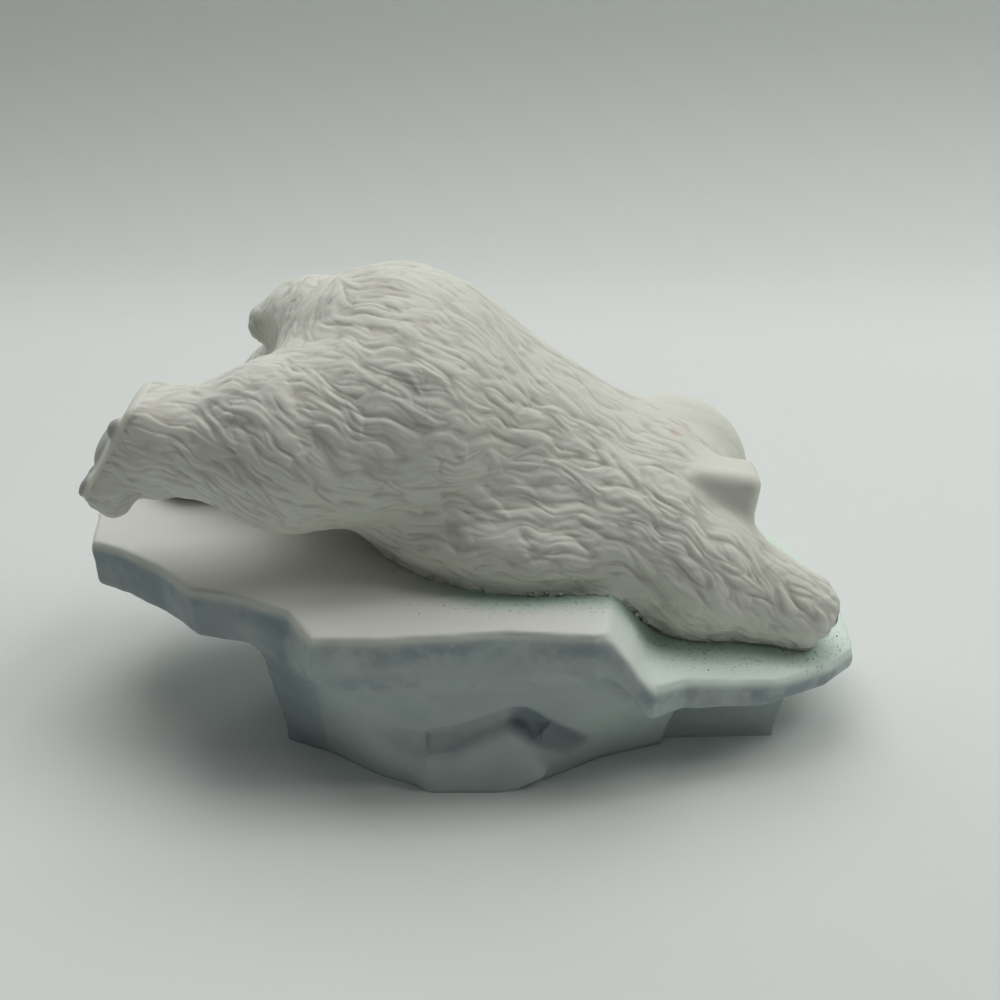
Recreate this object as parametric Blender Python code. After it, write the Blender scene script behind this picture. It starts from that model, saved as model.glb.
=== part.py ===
"""Polar bear figurine: a bear stretched out over an ice floe, one casting of bisque porcelain.

The whole figurine is one solid. Its form is a set of named masses (ellipsoids, tapering limbs,
slabs and outlines) blended into each other. Blender joins rough primitives of the masses and
remeshes them into one skin, and the skin is then settled on the blended surface and carved.
Metres, +Z up. The head lies toward -X, the photographed side faces -Y, and the table is Z = 0.
"""
import math

import bmesh
import bpy
import numpy as np
from mathutils import Matrix, Vector, kdtree

# Ice floe
FLOE_TOP = 0.0400            # the level part of the ice above the table
PLATE_THICKNESS = 0.0125     # the overhanging sheet of ice, at its thick end
PLATE_THINNING = 0.0060      # how much thinner the sheet is at its low end
RAMP_START = 0.0270          # where the level ice breaks off, along X
RAMP_RUN = 0.0120            # length of the broken slope
RAMP_DROP = 0.0138           # fall of the ice over the break
RAMP_FALL = 0.20             # slope of the low part, down toward +X
RAMP_TILT = 0.10             # slope of the low part, down toward -Y
RAMP_LEAD = 0.0050           # how far the low slope reaches back under the break
BREAK_SKEW = 0.12            # how the break runs askew across the ice
TILT_LINE = -0.0400          # where along Y the low part has the height that is given
FOOT_HEIGHT = 0.0270         # height of the foot's outline where it meets the sheet
GROOVE_RADIUS = 0.0025       # clefts in the side of the foot
EDGE_ROUND = 0.0022          # rounding of the ice edges
SIDE_LEAN = 0.05             # how far the sheet's side leans, as a share of its height
FOOT_SEAT = 0.4              # how deep the foot goes into the sheet, as a share of it
HEEL_SEAT = 0.3

# Casting
WALL = 0.0036                # thickness of the slip-cast wall
VENT_DIAMETER = 0.0090       # firing vent in the underside
VENT_PLACE = (0.000, 0.004)  # centre of the vent on the underside
LEVEL_CORNER = 7             # the outline's near corner of the level ice
LOW_CORNER = 15              # the outline's corner at the low end

# Bear, girths (radii)
CHEST = (0.0295, 0.0260, 0.0290)
LOIN = (0.0340, 0.0260, 0.0230)
RUMP = (0.0250, 0.0260, 0.0180)
BELLY = (0.0400, 0.0320, 0.0160)
FAR_HAUNCH = (0.0175, 0.0160, 0.0170)
SKULL = (0.0115, 0.0120, 0.0100)
EAR = (0.0046, 0.0028, 0.0046)
NECK_RADIUS = 0.0175
NAPE_RADIUS = 0.0120
CHEEK_RADIUS = 0.0090
MUZZLE_RADIUS = 0.0084
MUZZLE_TIP_RADIUS = 0.0058
NOSE_RADIUS = 0.0026
SHOULDER_RADIUS = 0.0230
ELBOW_RADIUS = 0.0190
FOREARM_RADIUS = 0.0155
WRIST_RADIUS = 0.0120
PAW = (0.0050, 0.0105, 0.0140)
PAW_EDGE = 0.0040
PALM_PAD = (0.0021, 0.0066, 0.0052)
WRIST_PAD = (0.0018, 0.0020, 0.0024)
TOE_PAD = (0.0012, 0.0019, 0.0026)
FAR_ELBOW_RADIUS = 0.0115
THIGH_RADIUS = 0.0190
HOCK_RADIUS = 0.0136
FAR_KNEE_RADIUS = 0.0120
FAR_PAW = (0.0125, 0.0105, 0.0070)
FOOT_RADIUS = 0.0086
TAIL = (0.0073, 0.0060, 0.0083)
TAIL_EDGE = 0.0030

# Bear, landmarks: X, Y and height above the level ice
CHEST_AT = (-0.0140, 0.0040, 0.0310)
LOIN_AT = (0.0120, 0.0020, 0.0190)
RUMP_AT = (0.0370, 0.0030, 0.0105)
BELLY_AT = (0.0120, 0.0000, 0.0080)
FAR_HAUNCH_AT = (0.0465, 0.0150, 0.0095)
WITHERS_AT = (-0.0180, 0.0080, 0.0400)
NAPE_AT = (-0.0310, 0.0150, 0.0420)
SKULL_AT = (-0.0350, 0.0180, 0.0440)
BROW_AT = (-0.0358, 0.0245, 0.0415)
NOSE_AT = (-0.0368, 0.0390, 0.0345)
NEAR_EAR_AT = (-0.0247, 0.0120, 0.0480)
FAR_EAR_AT = (-0.0446, 0.0165, 0.0440)
SHOULDER_AT = (-0.0120, -0.0080, 0.0315)
ELBOW_AT = (-0.0360, -0.0155, 0.0285)
WRIST_AT = (-0.0560, -0.0170, 0.0293)
PAW_AT = (-0.0690, -0.0170, 0.0270)
FAR_SHOULDER_AT = (-0.0160, 0.0180, 0.0320)
FAR_ELBOW_AT = (-0.0410, 0.0240, 0.0250)
FAR_PAW_AT = (-0.0600, 0.0250, 0.0060)
HIP_AT = (0.0340, -0.0100, 0.0060)
HOCK_AT = (0.0500, -0.0170, -0.0010)
HIND_PAW_AT = (0.0740, -0.0180, -0.0104)
FAR_HIP_AT = (0.0440, 0.0160, 0.0060)
FAR_KNEE_AT = (0.0260, 0.0320, 0.0020)
FAR_FOOT_AT = (0.0520, 0.0320, -0.0060)
TAIL_AT = (0.0545, -0.0040, 0.0105)

# Leans in degrees about Y: the trunk's masses, the tail and the raised paw's sole
CHEST_LEAN = 22
LOIN_LEAN = 35
RUMP_LEAN = 18
BELLY_LEAN = 6
HAUNCH_LEAN = 10
TAIL_LEAN = 8
PAW_TURN = 31

# Reach of the blends between masses
TRUNK_BLEND = 0.0080
NECK_BLEND = 0.0070
LIMB_BLEND = 0.0050
FINE_BLEND = 0.0025
PAD_BLEND = 0.0008
SEAT_BLEND = 0.0026

# Carving: main locks of fur over the body
LOCK_LENGTH = 0.0150
LOCK_WIDTH = 0.0064
LOCK_RELIEF = 0.0012
LOCK_SPACING = 0.0062
LOCK_CLEAR = 0.0020          # locks start at least this far above the ice
LOCK_TRIES = 9000
LOCK_SEED = 11
FUR_CLEAR = 0.0012           # the carving fades in from here off the ice
FUR_FADE = 0.0050
TAIL_FADE = 0.0040

# Meshing
VOXEL = 0.0013
SKIN_TRIANGLES = 10200
CAVITY_TRIANGLES = 1400
SLOPE_REACH = 0.0003
LONGEST_SLIDE = 0.0080

# Outlines of the ice in plan, from the high left end round the near side
PLATE_OUTLINE = [
    (-0.0870, 0.0110), (-0.0845, -0.0045), (-0.0770, -0.0085), (-0.0670, -0.0170),
    (-0.0580, -0.0270), (-0.0460, -0.0310), (-0.0370, -0.0365), (-0.0310, -0.0475),
    (-0.0160, -0.0476), (0.0080, -0.0448), (0.0260, -0.0465), (0.0390, -0.0435),
    (0.0460, -0.0388), (0.0660, -0.0335), (0.0790, -0.0245), (0.0865, -0.0160),
    (0.0870, 0.0050), (0.0810, 0.0200), (0.0680, 0.0365), (0.0400, 0.0450),
    (-0.0100, 0.0475), (-0.0550, 0.0430), (-0.0800, 0.0290),
]
FOOT_LOW = [
    (-0.0400, -0.0230), (-0.0300, -0.0280), (-0.0186, -0.0366), (-0.0077, -0.0420),
    (0.0170, -0.0380), (0.0290, -0.0300), (0.0430, -0.0245), (0.0460, 0.0000),
    (0.0400, 0.0340), (-0.0100, 0.0360), (-0.0360, 0.0240), (-0.0440, 0.0000),
]
FOOT_HIGH = [
    (-0.0440, -0.0300), (-0.0335, -0.0410), (-0.0220, -0.0455), (-0.0090, -0.0450),
    (0.0170, -0.0435), (0.0320, -0.0425), (0.0480, -0.0360), (0.0520, 0.0000),
    (0.0460, 0.0380), (-0.0100, 0.0410), (-0.0420, 0.0300), (-0.0500, 0.0000),
]
HEEL_LOW = [
    (0.0400, -0.0225), (0.0680, -0.0215), (0.0710, 0.0000), (0.0620, 0.0240), (0.0400, 0.0300),
]
HEEL_HIGH = [
    (0.0400, -0.0250), (0.0730, -0.0260), (0.0770, 0.0000), (0.0680, 0.0300), (0.0400, 0.0360),
]

# The lobe that stands out low on the near side of the foot
LOBE = (0.0130, 0.0080, 0.0080)
LOBE_AT = (0.0031, -0.0350, 0.0045)
LOBE_LEAN = -25
LOBE_EDGE = 0.0030

# Clefts in the near side of the foot: runs of points with a radius factor
CLEFTS = [
    [(-0.0250, -0.0450, 0.0155, 0.6), (-0.0130, -0.0435, 0.0115, 1.0),
     (-0.0040, -0.0430, 0.0122, 1.0), (0.0100, -0.0425, 0.0180, 0.7)],
    [(-0.0240, -0.0480, 0.0235, 0.7), (-0.0090, -0.0475, 0.0195, 1.1)],
    [(0.0120, -0.0420, 0.0170, 0.9), (0.0240, -0.0380, 0.0070, 0.9)],
    [(0.0270, -0.0435, 0.0155, 0.9), (0.0460, -0.0375, 0.0135, 1.0)],
]

# Where the fur is combed to: a place on the bear and the way its locks lie there
COMBING = [
    ((-0.0700, -0.0250, 0.0270), (1.00, 0.00, -0.10)),
    ((-0.0580, -0.0280, 0.0300), (1.00, 0.00, -0.35)),
    ((-0.0460, -0.0300, 0.0280), (0.75, 0.00, -0.70)),
    ((-0.0340, -0.0320, 0.0240), (0.70, 0.00, -0.70)),
    ((-0.0200, -0.0300, 0.0140), (1.00, 0.00, -0.15)),
    ((-0.0340, -0.0180, 0.0460), (0.75, -0.30, -0.50)),
    ((-0.0180, -0.0250, 0.0400), (0.95, -0.10, -0.35)),
    ((-0.0140, 0.0000, 0.0600), (1.00, -0.25, -0.25)),
    ((-0.0140, 0.0200, 0.0550), (1.00, 0.30, -0.30)),
    ((-0.0360, 0.0100, 0.0520), (-0.35, -0.60, -0.70)),
    ((-0.0360, 0.0350, 0.0350), (0.20, -1.00, 0.30)),
    ((0.0050, -0.0250, 0.0250), (1.00, 0.00, -0.15)),
    ((0.0200, -0.0250, 0.0150), (1.00, 0.00, -0.25)),
    ((0.0140, 0.0000, 0.0460), (0.85, -0.20, -0.50)),
    ((0.0140, 0.0250, 0.0300), (0.85, 0.20, -0.50)),
    ((0.0400, -0.0050, 0.0280), (0.90, -0.10, -0.50)),
    ((0.0500, 0.0200, 0.0250), (0.80, 0.20, -0.60)),
    ((0.0450, -0.0250, 0.0080), (0.75, 0.00, -0.65)),
    ((0.0600, -0.0250, -0.0020), (0.65, -0.10, -0.75)),
    ((0.0780, -0.0220, -0.0100), (0.80, 0.00, -0.60)),
    ((0.0150, -0.0280, 0.0050), (1.00, 0.00, -0.05)),
    ((-0.0450, 0.0300, 0.0150), (-0.80, 0.20, -0.60)),
    ((0.0400, 0.0350, 0.0000), (0.80, 0.20, -0.50)),
]
COMB_REACH = 0.0140          # how far a combing point carries
COMB_WAVE = 0.60             # radians that the fur wanders from it
COMB_WAVELENGTH = 0.0130

PORCELAIN_CREAM = (0.80, 0.77, 0.70, 1.0)


def blend(a, b, reach):
    """The union of two distances, with a fillet of the given reach."""
    share = np.clip(0.5 + 0.5 * (b - a) / reach, 0.0, 1.0)
    return b + (a - b) * share - reach * share * (1.0 - share)


def cut(a, b, reach):
    """What two distances have in common, with its edge rounded."""
    return -blend(-a, -b, reach)


def above_ice(place):
    """A landmark of the bear, lifted onto the ice."""
    return Vector((place[0], place[1], place[2] + FLOE_TOP))


def turned(degrees):
    """A turn about Y, as a matrix for rows of points and one for Blender."""
    matrix = Matrix.Rotation(math.radians(degrees), 3, "Y")
    return np.array(matrix), matrix


class Ball:
    """An ellipsoid, leaned about Y."""

    def __init__(self, at, radii, lean=0.0):
        self.at, self.radii = Vector(at), np.array(radii)
        self.rows, self.matrix = turned(lean)

    def distance(self, points):
        local = (points - np.array(self.at)) @ self.rows
        inner = np.linalg.norm(local / self.radii, axis=1)
        outer = np.linalg.norm(local / self.radii ** 2, axis=1) + 1e-9
        return inner * (inner - 1.0) / outer

    def add_rough(self, bm):
        scale = Matrix.Diagonal(Vector(self.radii)).to_4x4()
        place = Matrix.Translation(self.at) @ self.matrix.to_4x4() @ scale
        bmesh.ops.create_icosphere(bm, subdivisions=3, radius=1.0, matrix=place)


class Limb:
    """A round limb that tapers from one landmark to the next."""

    def __init__(self, start, end, start_radius, end_radius):
        self.start, self.end = Vector(start), Vector(end)
        self.radii = (start_radius, end_radius)

    def distance(self, points):
        start, run = np.array(self.start), np.array(self.end - self.start)
        share = np.clip((points - start) @ run / (run @ run), 0.0, 1.0)
        radius = self.radii[0] + (self.radii[1] - self.radii[0]) * share
        return np.linalg.norm(points - start - share[:, None] * run, axis=1) - radius

    def add_rough(self, bm):
        run = self.end - self.start
        for at, radius in ((self.start, self.radii[0]), (self.end, self.radii[1])):
            bmesh.ops.create_icosphere(bm, subdivisions=3, radius=radius, matrix=Matrix.Translation(at))
        turn = run.to_track_quat("Z", "Y").to_matrix().to_4x4()
        place = Matrix.Translation((self.start + self.end) / 2.0) @ turn
        bmesh.ops.create_cone(
            bm, cap_ends=True, segments=24, radius1=self.radii[0], radius2=self.radii[1],
            depth=run.length, matrix=place,
        )


class Slab:
    """A block with rounded edges, leaned about Y."""

    def __init__(self, at, half, edge, lean=0.0):
        self.at, self.half, self.edge = Vector(at), np.array(half), edge
        self.rows, self.matrix = turned(lean)

    def distance(self, points):
        local = np.abs((points - np.array(self.at)) @ self.rows) - self.half + self.edge
        outside = np.linalg.norm(np.maximum(local, 0.0), axis=1)
        return outside + np.minimum(local.max(axis=1), 0.0) - self.edge

    def add_rough(self, bm):
        scale = Matrix.Diagonal(Vector(2.0 * self.half)).to_4x4()
        place = Matrix.Translation(self.at) @ self.matrix.to_4x4() @ scale
        bmesh.ops.create_cube(bm, size=1.0, matrix=place)


def raised_sole():
    """The low pads on the sole of the raised forepaw: palm, wrist and toes."""
    turn = turned(PAW_TURN)[1]
    face = above_ice(PAW_AT) + turn @ Vector((-PAW[0], 0.0, 0.0))
    wide, tall = TOE_PAD[1:]
    spots = [(0.0, -0.11 * PAW[2], PALM_PAD), (-0.62 * PAW[1], 0.40 * PAW[2], WRIST_PAD)]
    for step in (-1.5, -0.5, 0.5, 1.5):
        rise = 0.5 * tall * (1.0 - (step / 1.5) ** 2)
        spots.append((2.2 * step * wide, -0.11 * PAW[2] - PALM_PAD[2] - 1.1 * tall - rise, TOE_PAD))
    pads = [Ball(face + turn @ Vector((0.0, across, up)), size, PAW_TURN) for across, up, size in spots]
    return [(pad, PAD_BLEND) for pad in pads]


def nose_ball():
    out = 0.5 * NOSE_RADIUS
    place = Vector((0.0, MUZZLE_TIP_RADIUS - out, out))
    return Ball(above_ice(NOSE_AT) + place, (1.2 * NOSE_RADIUS, NOSE_RADIUS, NOSE_RADIUS))


def tail_slab():
    return Slab(above_ice(TAIL_AT), TAIL, TAIL_EDGE, TAIL_LEAN)


def bear_masses():
    """Every mass of the bear with the reach of its blend into those before it."""
    lift = above_ice
    cheek = Vector((lift(SKULL_AT).x, lift(FAR_EAR_AT).y, lift(SKULL_AT).z))
    trunk = [
        (Ball(lift(CHEST_AT), CHEST, CHEST_LEAN), 0.0),
        (Ball(lift(LOIN_AT), LOIN, LOIN_LEAN), TRUNK_BLEND),
        (Ball(lift(RUMP_AT), RUMP, RUMP_LEAN), TRUNK_BLEND),
        (Ball(lift(BELLY_AT), BELLY, BELLY_LEAN), TRUNK_BLEND),
        (Ball(lift(FAR_HAUNCH_AT), FAR_HAUNCH, HAUNCH_LEAN), FINE_BLEND),
        (Limb(lift(WITHERS_AT), lift(NAPE_AT), NECK_RADIUS, NAPE_RADIUS), NECK_BLEND),
    ]
    head = [
        (Ball(lift(SKULL_AT), SKULL), FINE_BLEND),
        (Limb(cheek, lift(FAR_EAR_AT), CHEEK_RADIUS, EAR[2]), FINE_BLEND),
        (Limb(lift(BROW_AT), lift(NOSE_AT), MUZZLE_RADIUS, MUZZLE_TIP_RADIUS), LIMB_BLEND),
        (nose_ball(), PAD_BLEND),
        (Ball(lift(NEAR_EAR_AT), EAR), FINE_BLEND),
    ]
    forelegs = [
        (Limb(lift(SHOULDER_AT), lift(ELBOW_AT), SHOULDER_RADIUS, ELBOW_RADIUS), LIMB_BLEND),
        (Limb(lift(ELBOW_AT), lift(WRIST_AT), FOREARM_RADIUS, WRIST_RADIUS), LIMB_BLEND),
        (Slab(lift(PAW_AT), PAW, PAW_EDGE, PAW_TURN), LIMB_BLEND),
        (Limb(lift(FAR_SHOULDER_AT), lift(FAR_ELBOW_AT), NECK_RADIUS, FAR_ELBOW_RADIUS), LIMB_BLEND),
        (Limb(lift(FAR_ELBOW_AT), lift(FAR_PAW_AT), FAR_ELBOW_RADIUS, FOOT_RADIUS), LIMB_BLEND),
        (Ball(lift(FAR_PAW_AT) - Vector((0.3 * FAR_PAW[0], 0.0, 0.0)), FAR_PAW), FINE_BLEND),
    ]
    hind_legs = [
        (Limb(lift(HIP_AT), lift(HOCK_AT), THIGH_RADIUS, HOCK_RADIUS), LIMB_BLEND),
        (Limb(lift(HOCK_AT), lift(HIND_PAW_AT), HOCK_RADIUS, FOOT_RADIUS), LIMB_BLEND),
        (Limb(lift(FAR_HIP_AT), lift(FAR_KNEE_AT), NECK_RADIUS, FAR_KNEE_RADIUS), LIMB_BLEND),
        (Limb(lift(FAR_KNEE_AT), lift(FAR_FOOT_AT), FAR_KNEE_RADIUS, FOOT_RADIUS), LIMB_BLEND),
        (Ball(lift(FAR_FOOT_AT) + Vector((0.3 * FAR_PAW[0], 0.0, 0.0)), FAR_PAW), FINE_BLEND),
        (tail_slab(), FINE_BLEND),
    ]
    return trunk + head + forelegs + raised_sole() + hind_legs


def cavity_masses():
    """What the slip leaves hollow: the trunk, the neck and the thick limbs, less the wall."""
    lift = above_ice

    def inset(radii):
        return tuple(radius - WALL for radius in radii)

    return [
        (Ball(lift(CHEST_AT), inset(CHEST), CHEST_LEAN), 0.0),
        (Ball(lift(LOIN_AT), inset(LOIN), LOIN_LEAN), 0.5 * TRUNK_BLEND),
        (Ball(lift(RUMP_AT), inset(RUMP), RUMP_LEAN), 0.5 * TRUNK_BLEND),
        (Ball(lift(BELLY_AT), inset(BELLY), BELLY_LEAN), 0.5 * TRUNK_BLEND),
        (Limb(lift(WITHERS_AT), lift(NAPE_AT), NECK_RADIUS - WALL, NAPE_RADIUS - WALL), FINE_BLEND),
        (Limb(lift(SHOULDER_AT), lift(ELBOW_AT), SHOULDER_RADIUS - WALL, ELBOW_RADIUS - WALL), FINE_BLEND),
    ]


def union_of(masses, points):
    """The blended distance of a list of masses."""
    total = masses[0][0].distance(points)
    for mass, reach in masses[1:]:
        total = blend(total, mass.distance(points), reach)
    return total


def ice_top(x, y):
    """Height of the ice: level, a break down the near side, then a low slope to +X."""
    start = RAMP_START + BREAK_SKEW * (y - PLATE_OUTLINE[LEVEL_CORNER][1])
    share = np.clip((x - start) / RAMP_RUN, 0.0, 1.0)
    share = share * share * (3.0 - 2.0 * share)
    past = np.maximum(x - RAMP_START - RAMP_RUN, -RAMP_LEAD)
    low = FLOE_TOP - RAMP_DROP - RAMP_FALL * past + RAMP_TILT * (y - TILT_LINE)
    return FLOE_TOP * (1.0 - share) + low * share


def plate_thickness(x):
    """The sheet of ice thins toward its low end."""
    share = np.clip((x - RAMP_START) / (PLATE_OUTLINE[LOW_CORNER][0] - RAMP_START), 0.0, 1.0)
    return PLATE_THICKNESS - PLATE_THINNING * np.sqrt(share)


def outline_distance(points, low, high):
    """Signed distance in plan to an outline that changes from low, at Z = 0, to high."""
    low, high = np.array(low), np.array(high)
    share = np.clip(points[:, 2] / FOOT_HEIGHT, 0.0, 1.0)[:, None]
    plan = points[:, :2]
    nearest = np.full(len(points), 1.0)
    inside = np.ones(len(points))
    for index in range(len(low)):
        a = low[index] + (high[index] - low[index]) * share
        b = low[index - 1] + (high[index - 1] - low[index - 1]) * share
        edge, offset = b - a, plan - a
        along = np.clip((offset * edge).sum(1) / (edge * edge).sum(1), 0.0, 1.0)[:, None]
        gap = offset - along * edge
        nearest = np.minimum(nearest, (gap * gap).sum(1))
        left = edge[:, 0] * offset[:, 1] > edge[:, 1] * offset[:, 0]
        rises = (plan[:, 1] >= a[:, 1]) & (plan[:, 1] < b[:, 1]) & left
        falls = (plan[:, 1] < a[:, 1]) & (plan[:, 1] >= b[:, 1]) & ~left
        inside = np.where(rises | falls, -inside, inside)
    return inside * np.sqrt(nearest)


def ice(points):
    """Distance to the ice floe: the sheet, the foot under it and the clefts."""
    x, y, z = points.T
    top = ice_top(x, y)
    sides = outline_distance(points, PLATE_OUTLINE, PLATE_OUTLINE) + SIDE_LEAN * (top - z)
    plate = cut(sides, 0.9 * (z - top), EDGE_ROUND)
    plate = cut(plate, 0.9 * (top - plate_thickness(x) - z), 1.4 * EDGE_ROUND)
    foot_top, heel_top = top - FOOT_SEAT * PLATE_THICKNESS, top - HEEL_SEAT * PLATE_THICKNESS
    foot = cut(outline_distance(points, FOOT_LOW, FOOT_HIGH), z - foot_top, EDGE_ROUND)
    heel = cut(outline_distance(points, HEEL_LOW, HEEL_HIGH), z - heel_top, EDGE_ROUND)
    body = blend(blend(plate, foot, EDGE_ROUND), heel, 0.7 * EDGE_ROUND)
    for run in CLEFTS:
        body = cut(body, -union_of(cleft_masses(run), points), 0.8 * GROOVE_RADIUS)
    lobe = cut(Slab(LOBE_AT, LOBE, LOBE_EDGE, LOBE_LEAN).distance(points), -z, EDGE_ROUND)
    return blend(body, lobe, EDGE_ROUND)


def cleft_masses(run):
    """The round cutters along one cleft."""
    return [
        (Limb(start[:3], end[:3], GROOVE_RADIUS * start[3], GROOVE_RADIUS * end[3]), GROOVE_RADIUS)
        for start, end in zip(run, run[1:])
    ]


def bear(points):
    """Distance to the bear."""
    return union_of(bear_masses(), points)


def figurine(points):
    """Distance to bear and ice, with the slip fillet where they meet, reaching below the table."""
    body = blend(bear(points), ice(points), SEAT_BLEND)
    return cut(body, -points[:, 2] - 2.0 * VOXEL, 0.5 * VOXEL)


def cavity(points):
    """Distance to the hollow inside the wall: in the bear, in the foot and the throat between."""
    inner = union_of(cavity_masses(), points)
    side = outline_distance(points, FOOT_LOW, FOOT_HIGH) + WALL + GROOVE_RADIUS
    z = points[:, 2]
    block = cut(cut(side, z - FLOE_TOP + RAMP_DROP + WALL, EDGE_ROUND), WALL - z, EDGE_ROUND)
    return blend(blend(inner, block, EDGE_ROUND), throat().distance(points), EDGE_ROUND)


def throat():
    """The opening through which the bear's hollow joins the foot's."""
    at = above_ice((BELLY_AT[0] - WALL, BELLY_AT[1], BELLY_AT[2]))
    return Limb(Vector((at.x, at.y, 3.0 * WALL)), at, 2.0 * WALL, 2.0 * WALL)


def add_prism(bm, outline, bottom, top, breaks=()):
    """An outline in plan, raised between two heights that may change across it."""
    face = bm.faces.new([bm.verts.new((x, y, 0.0)) for x, y in outline])
    new = {face}
    for x in breaks:
        geometry = [item for face in new for item in (face, *face.edges, *face.verts)]
        split = bmesh.ops.bisect_plane(
            bm, geom=list(set(geometry)), dist=1e-6, plane_co=(x, 0.0, 0.0), plane_no=(1.0, 0.0, 0.0),
        )
        new = {item for item in split["geom"] if isinstance(item, bmesh.types.BMFace)}
    base = {vert for face in new for vert in face.verts}
    raised = bmesh.ops.extrude_face_region(bm, geom=list(new), use_keep_orig=True)["geom"]
    for vert in raised:
        if isinstance(vert, bmesh.types.BMVert):
            vert.co.z = top(vert.co.x, vert.co.y)
    for vert in base:
        vert.co.z = bottom(vert.co.x, vert.co.y)


def halfway(low, high):
    """The outline midway between two outlines."""
    return [((a[0] + b[0]) / 2.0, (a[1] + b[1]) / 2.0) for a, b in zip(low, high)]


def rough_skin():
    """Rough primitives of every mass, in one mesh."""
    bm = bmesh.new()
    for mass, _ in bear_masses():
        mass.add_rough(bm)
    breaks = (RAMP_START, RAMP_START + RAMP_RUN)

    def sheet_bottom(x, y):
        return ice_top(x, y) - plate_thickness(x)

    def under_sheet(x, y):
        return ice_top(x, y) - FOOT_SEAT * PLATE_THICKNESS

    def below_table(x, y):
        return -2.0 * VOXEL

    add_prism(bm, PLATE_OUTLINE, sheet_bottom, ice_top, breaks)
    add_prism(bm, halfway(FOOT_LOW, FOOT_HIGH), below_table, under_sheet, breaks)
    add_prism(bm, halfway(HEEL_LOW, HEEL_HIGH), below_table, under_sheet)
    return mesh_from(bm, "figurine_rough")


def rough_cavity():
    """Rough primitives of the hollow, in one mesh."""
    bm = bmesh.new()
    for mass, _ in cavity_masses():
        mass.add_rough(bm)
    throat().add_rough(bm)
    inner = [(0.80 * x, 0.80 * y) for x, y in halfway(FOOT_LOW, FOOT_HIGH)]
    add_prism(bm, inner, lambda x, y: WALL, lambda x, y: FLOE_TOP - RAMP_DROP - WALL)
    return mesh_from(bm, "cavity_rough")


def mesh_from(bm, name):
    """A mesh with outward faces from a bmesh, which is freed."""
    bmesh.ops.recalc_face_normals(bm, faces=bm.faces)
    mesh = bpy.data.meshes.new(name)
    bm.to_mesh(mesh)
    bm.free()
    return mesh


def with_modifier(mesh, kind, **settings):
    """The mesh as one modifier leaves it."""
    holder = bpy.data.objects.new("modifier_holder", mesh)
    bpy.context.scene.collection.objects.link(holder)
    modifier = holder.modifiers.new(kind.lower(), kind)
    for name, value in settings.items():
        setattr(modifier, name, value)
    evaluated = holder.evaluated_get(bpy.context.evaluated_depsgraph_get())
    result = bpy.data.meshes.new_from_object(evaluated)
    bpy.data.objects.remove(holder)
    bpy.data.meshes.remove(mesh)
    return result


def points_of(mesh):
    points = np.empty(len(mesh.vertices) * 3)
    mesh.vertices.foreach_get("co", points)
    return points.reshape(-1, 3)


def normals_of(mesh):
    normals = np.empty(len(mesh.vertices) * 3)
    mesh.vertex_normals.foreach_get("vector", normals)
    return normals.reshape(-1, 3)


def move_points(mesh, points):
    mesh.vertices.foreach_set("co", points.ravel())
    mesh.update()


def slope_of(field, points):
    """A field's level and slope at each point, from four samples round it."""
    corners = np.array([(1, 1, 1), (1, -1, -1), (-1, 1, -1), (-1, -1, 1)], dtype=float)
    samples = [field(points + SLOPE_REACH * corner) for corner in corners]
    slope = sum(value[:, None] * corner for value, corner in zip(samples, corners))
    return sum(samples) / len(corners), slope / (len(corners) * SLOPE_REACH)


def drawn_in(points, field, rounds, longest):
    """The points, slid onto the surface where the field is zero."""
    for _ in range(rounds):
        level, slope = slope_of(field, points)
        steep = np.maximum((slope * slope).sum(1), 0.15)
        step = -(level / steep)[:, None] * slope
        length = np.linalg.norm(step, axis=1, keepdims=True) + 1e-12
        points = points + step * np.minimum(1.0, longest / length)
    return points


def settle(mesh, field, rounds):
    move_points(mesh, drawn_in(points_of(mesh), field, rounds, 1.5 * VOXEL))


def relax(mesh, rounds):
    """Even out the vertices' spacing."""
    bm = bmesh.new()
    bm.from_mesh(mesh)
    for _ in range(rounds):
        bmesh.ops.smooth_vert(
            bm, verts=bm.verts, factor=0.5, use_axis_x=True, use_axis_y=True, use_axis_z=True,
        )
    bm.to_mesh(mesh)
    bm.free()


def combed(points, normals):
    """The way the fur lies at each point, along the surface."""
    total = np.zeros_like(points)
    for place, way in COMBING:
        gap = points - np.array(above_ice(place))
        weight = np.exp(-(gap * gap).sum(1) / COMB_REACH ** 2) + 1e-9
        total += weight[:, None] * np.array(way)
    total -= (total * normals).sum(1)[:, None] * normals
    total /= np.linalg.norm(total, axis=1, keepdims=True) + 1e-12
    turn = 2.0 * math.pi / COMB_WAVELENGTH
    x, y, z = points.T
    angle = COMB_WAVE * np.sin(turn * x + 1.7 * np.sin(0.61 * turn * z) + 1.3 * np.sin(0.53 * turn * y))
    side = np.cross(normals, total)
    return total * np.cos(angle)[:, None] + side * np.sin(angle)[:, None]


def fur_share(points):
    """How deeply the fur is carved: not on ice, sole, pads or nose, and lightly on muzzle and tail."""
    share = np.clip((ice(points) - FUR_CLEAR) / FUR_FADE, 0.0, 1.0)
    sole = (points - np.array(above_ice(PAW_AT))) @ turned(PAW_TURN)[0]
    on_sole = (sole[:, 0] < -0.72 * PAW[0]) & (np.linalg.norm(sole, axis=1) < 1.7 * PAW[2])
    share = np.where(on_sole, 0.0, share)
    from_nose = np.linalg.norm(points - np.array(above_ice(NOSE_AT)), axis=1)
    share *= np.clip((from_nose - MUZZLE_RADIUS) / (2.0 * MUZZLE_RADIUS), 0.0, 1.0)
    return share * np.clip(0.2 + tail_slab().distance(points) / TAIL_FADE, 0.2, 1.0)


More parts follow.
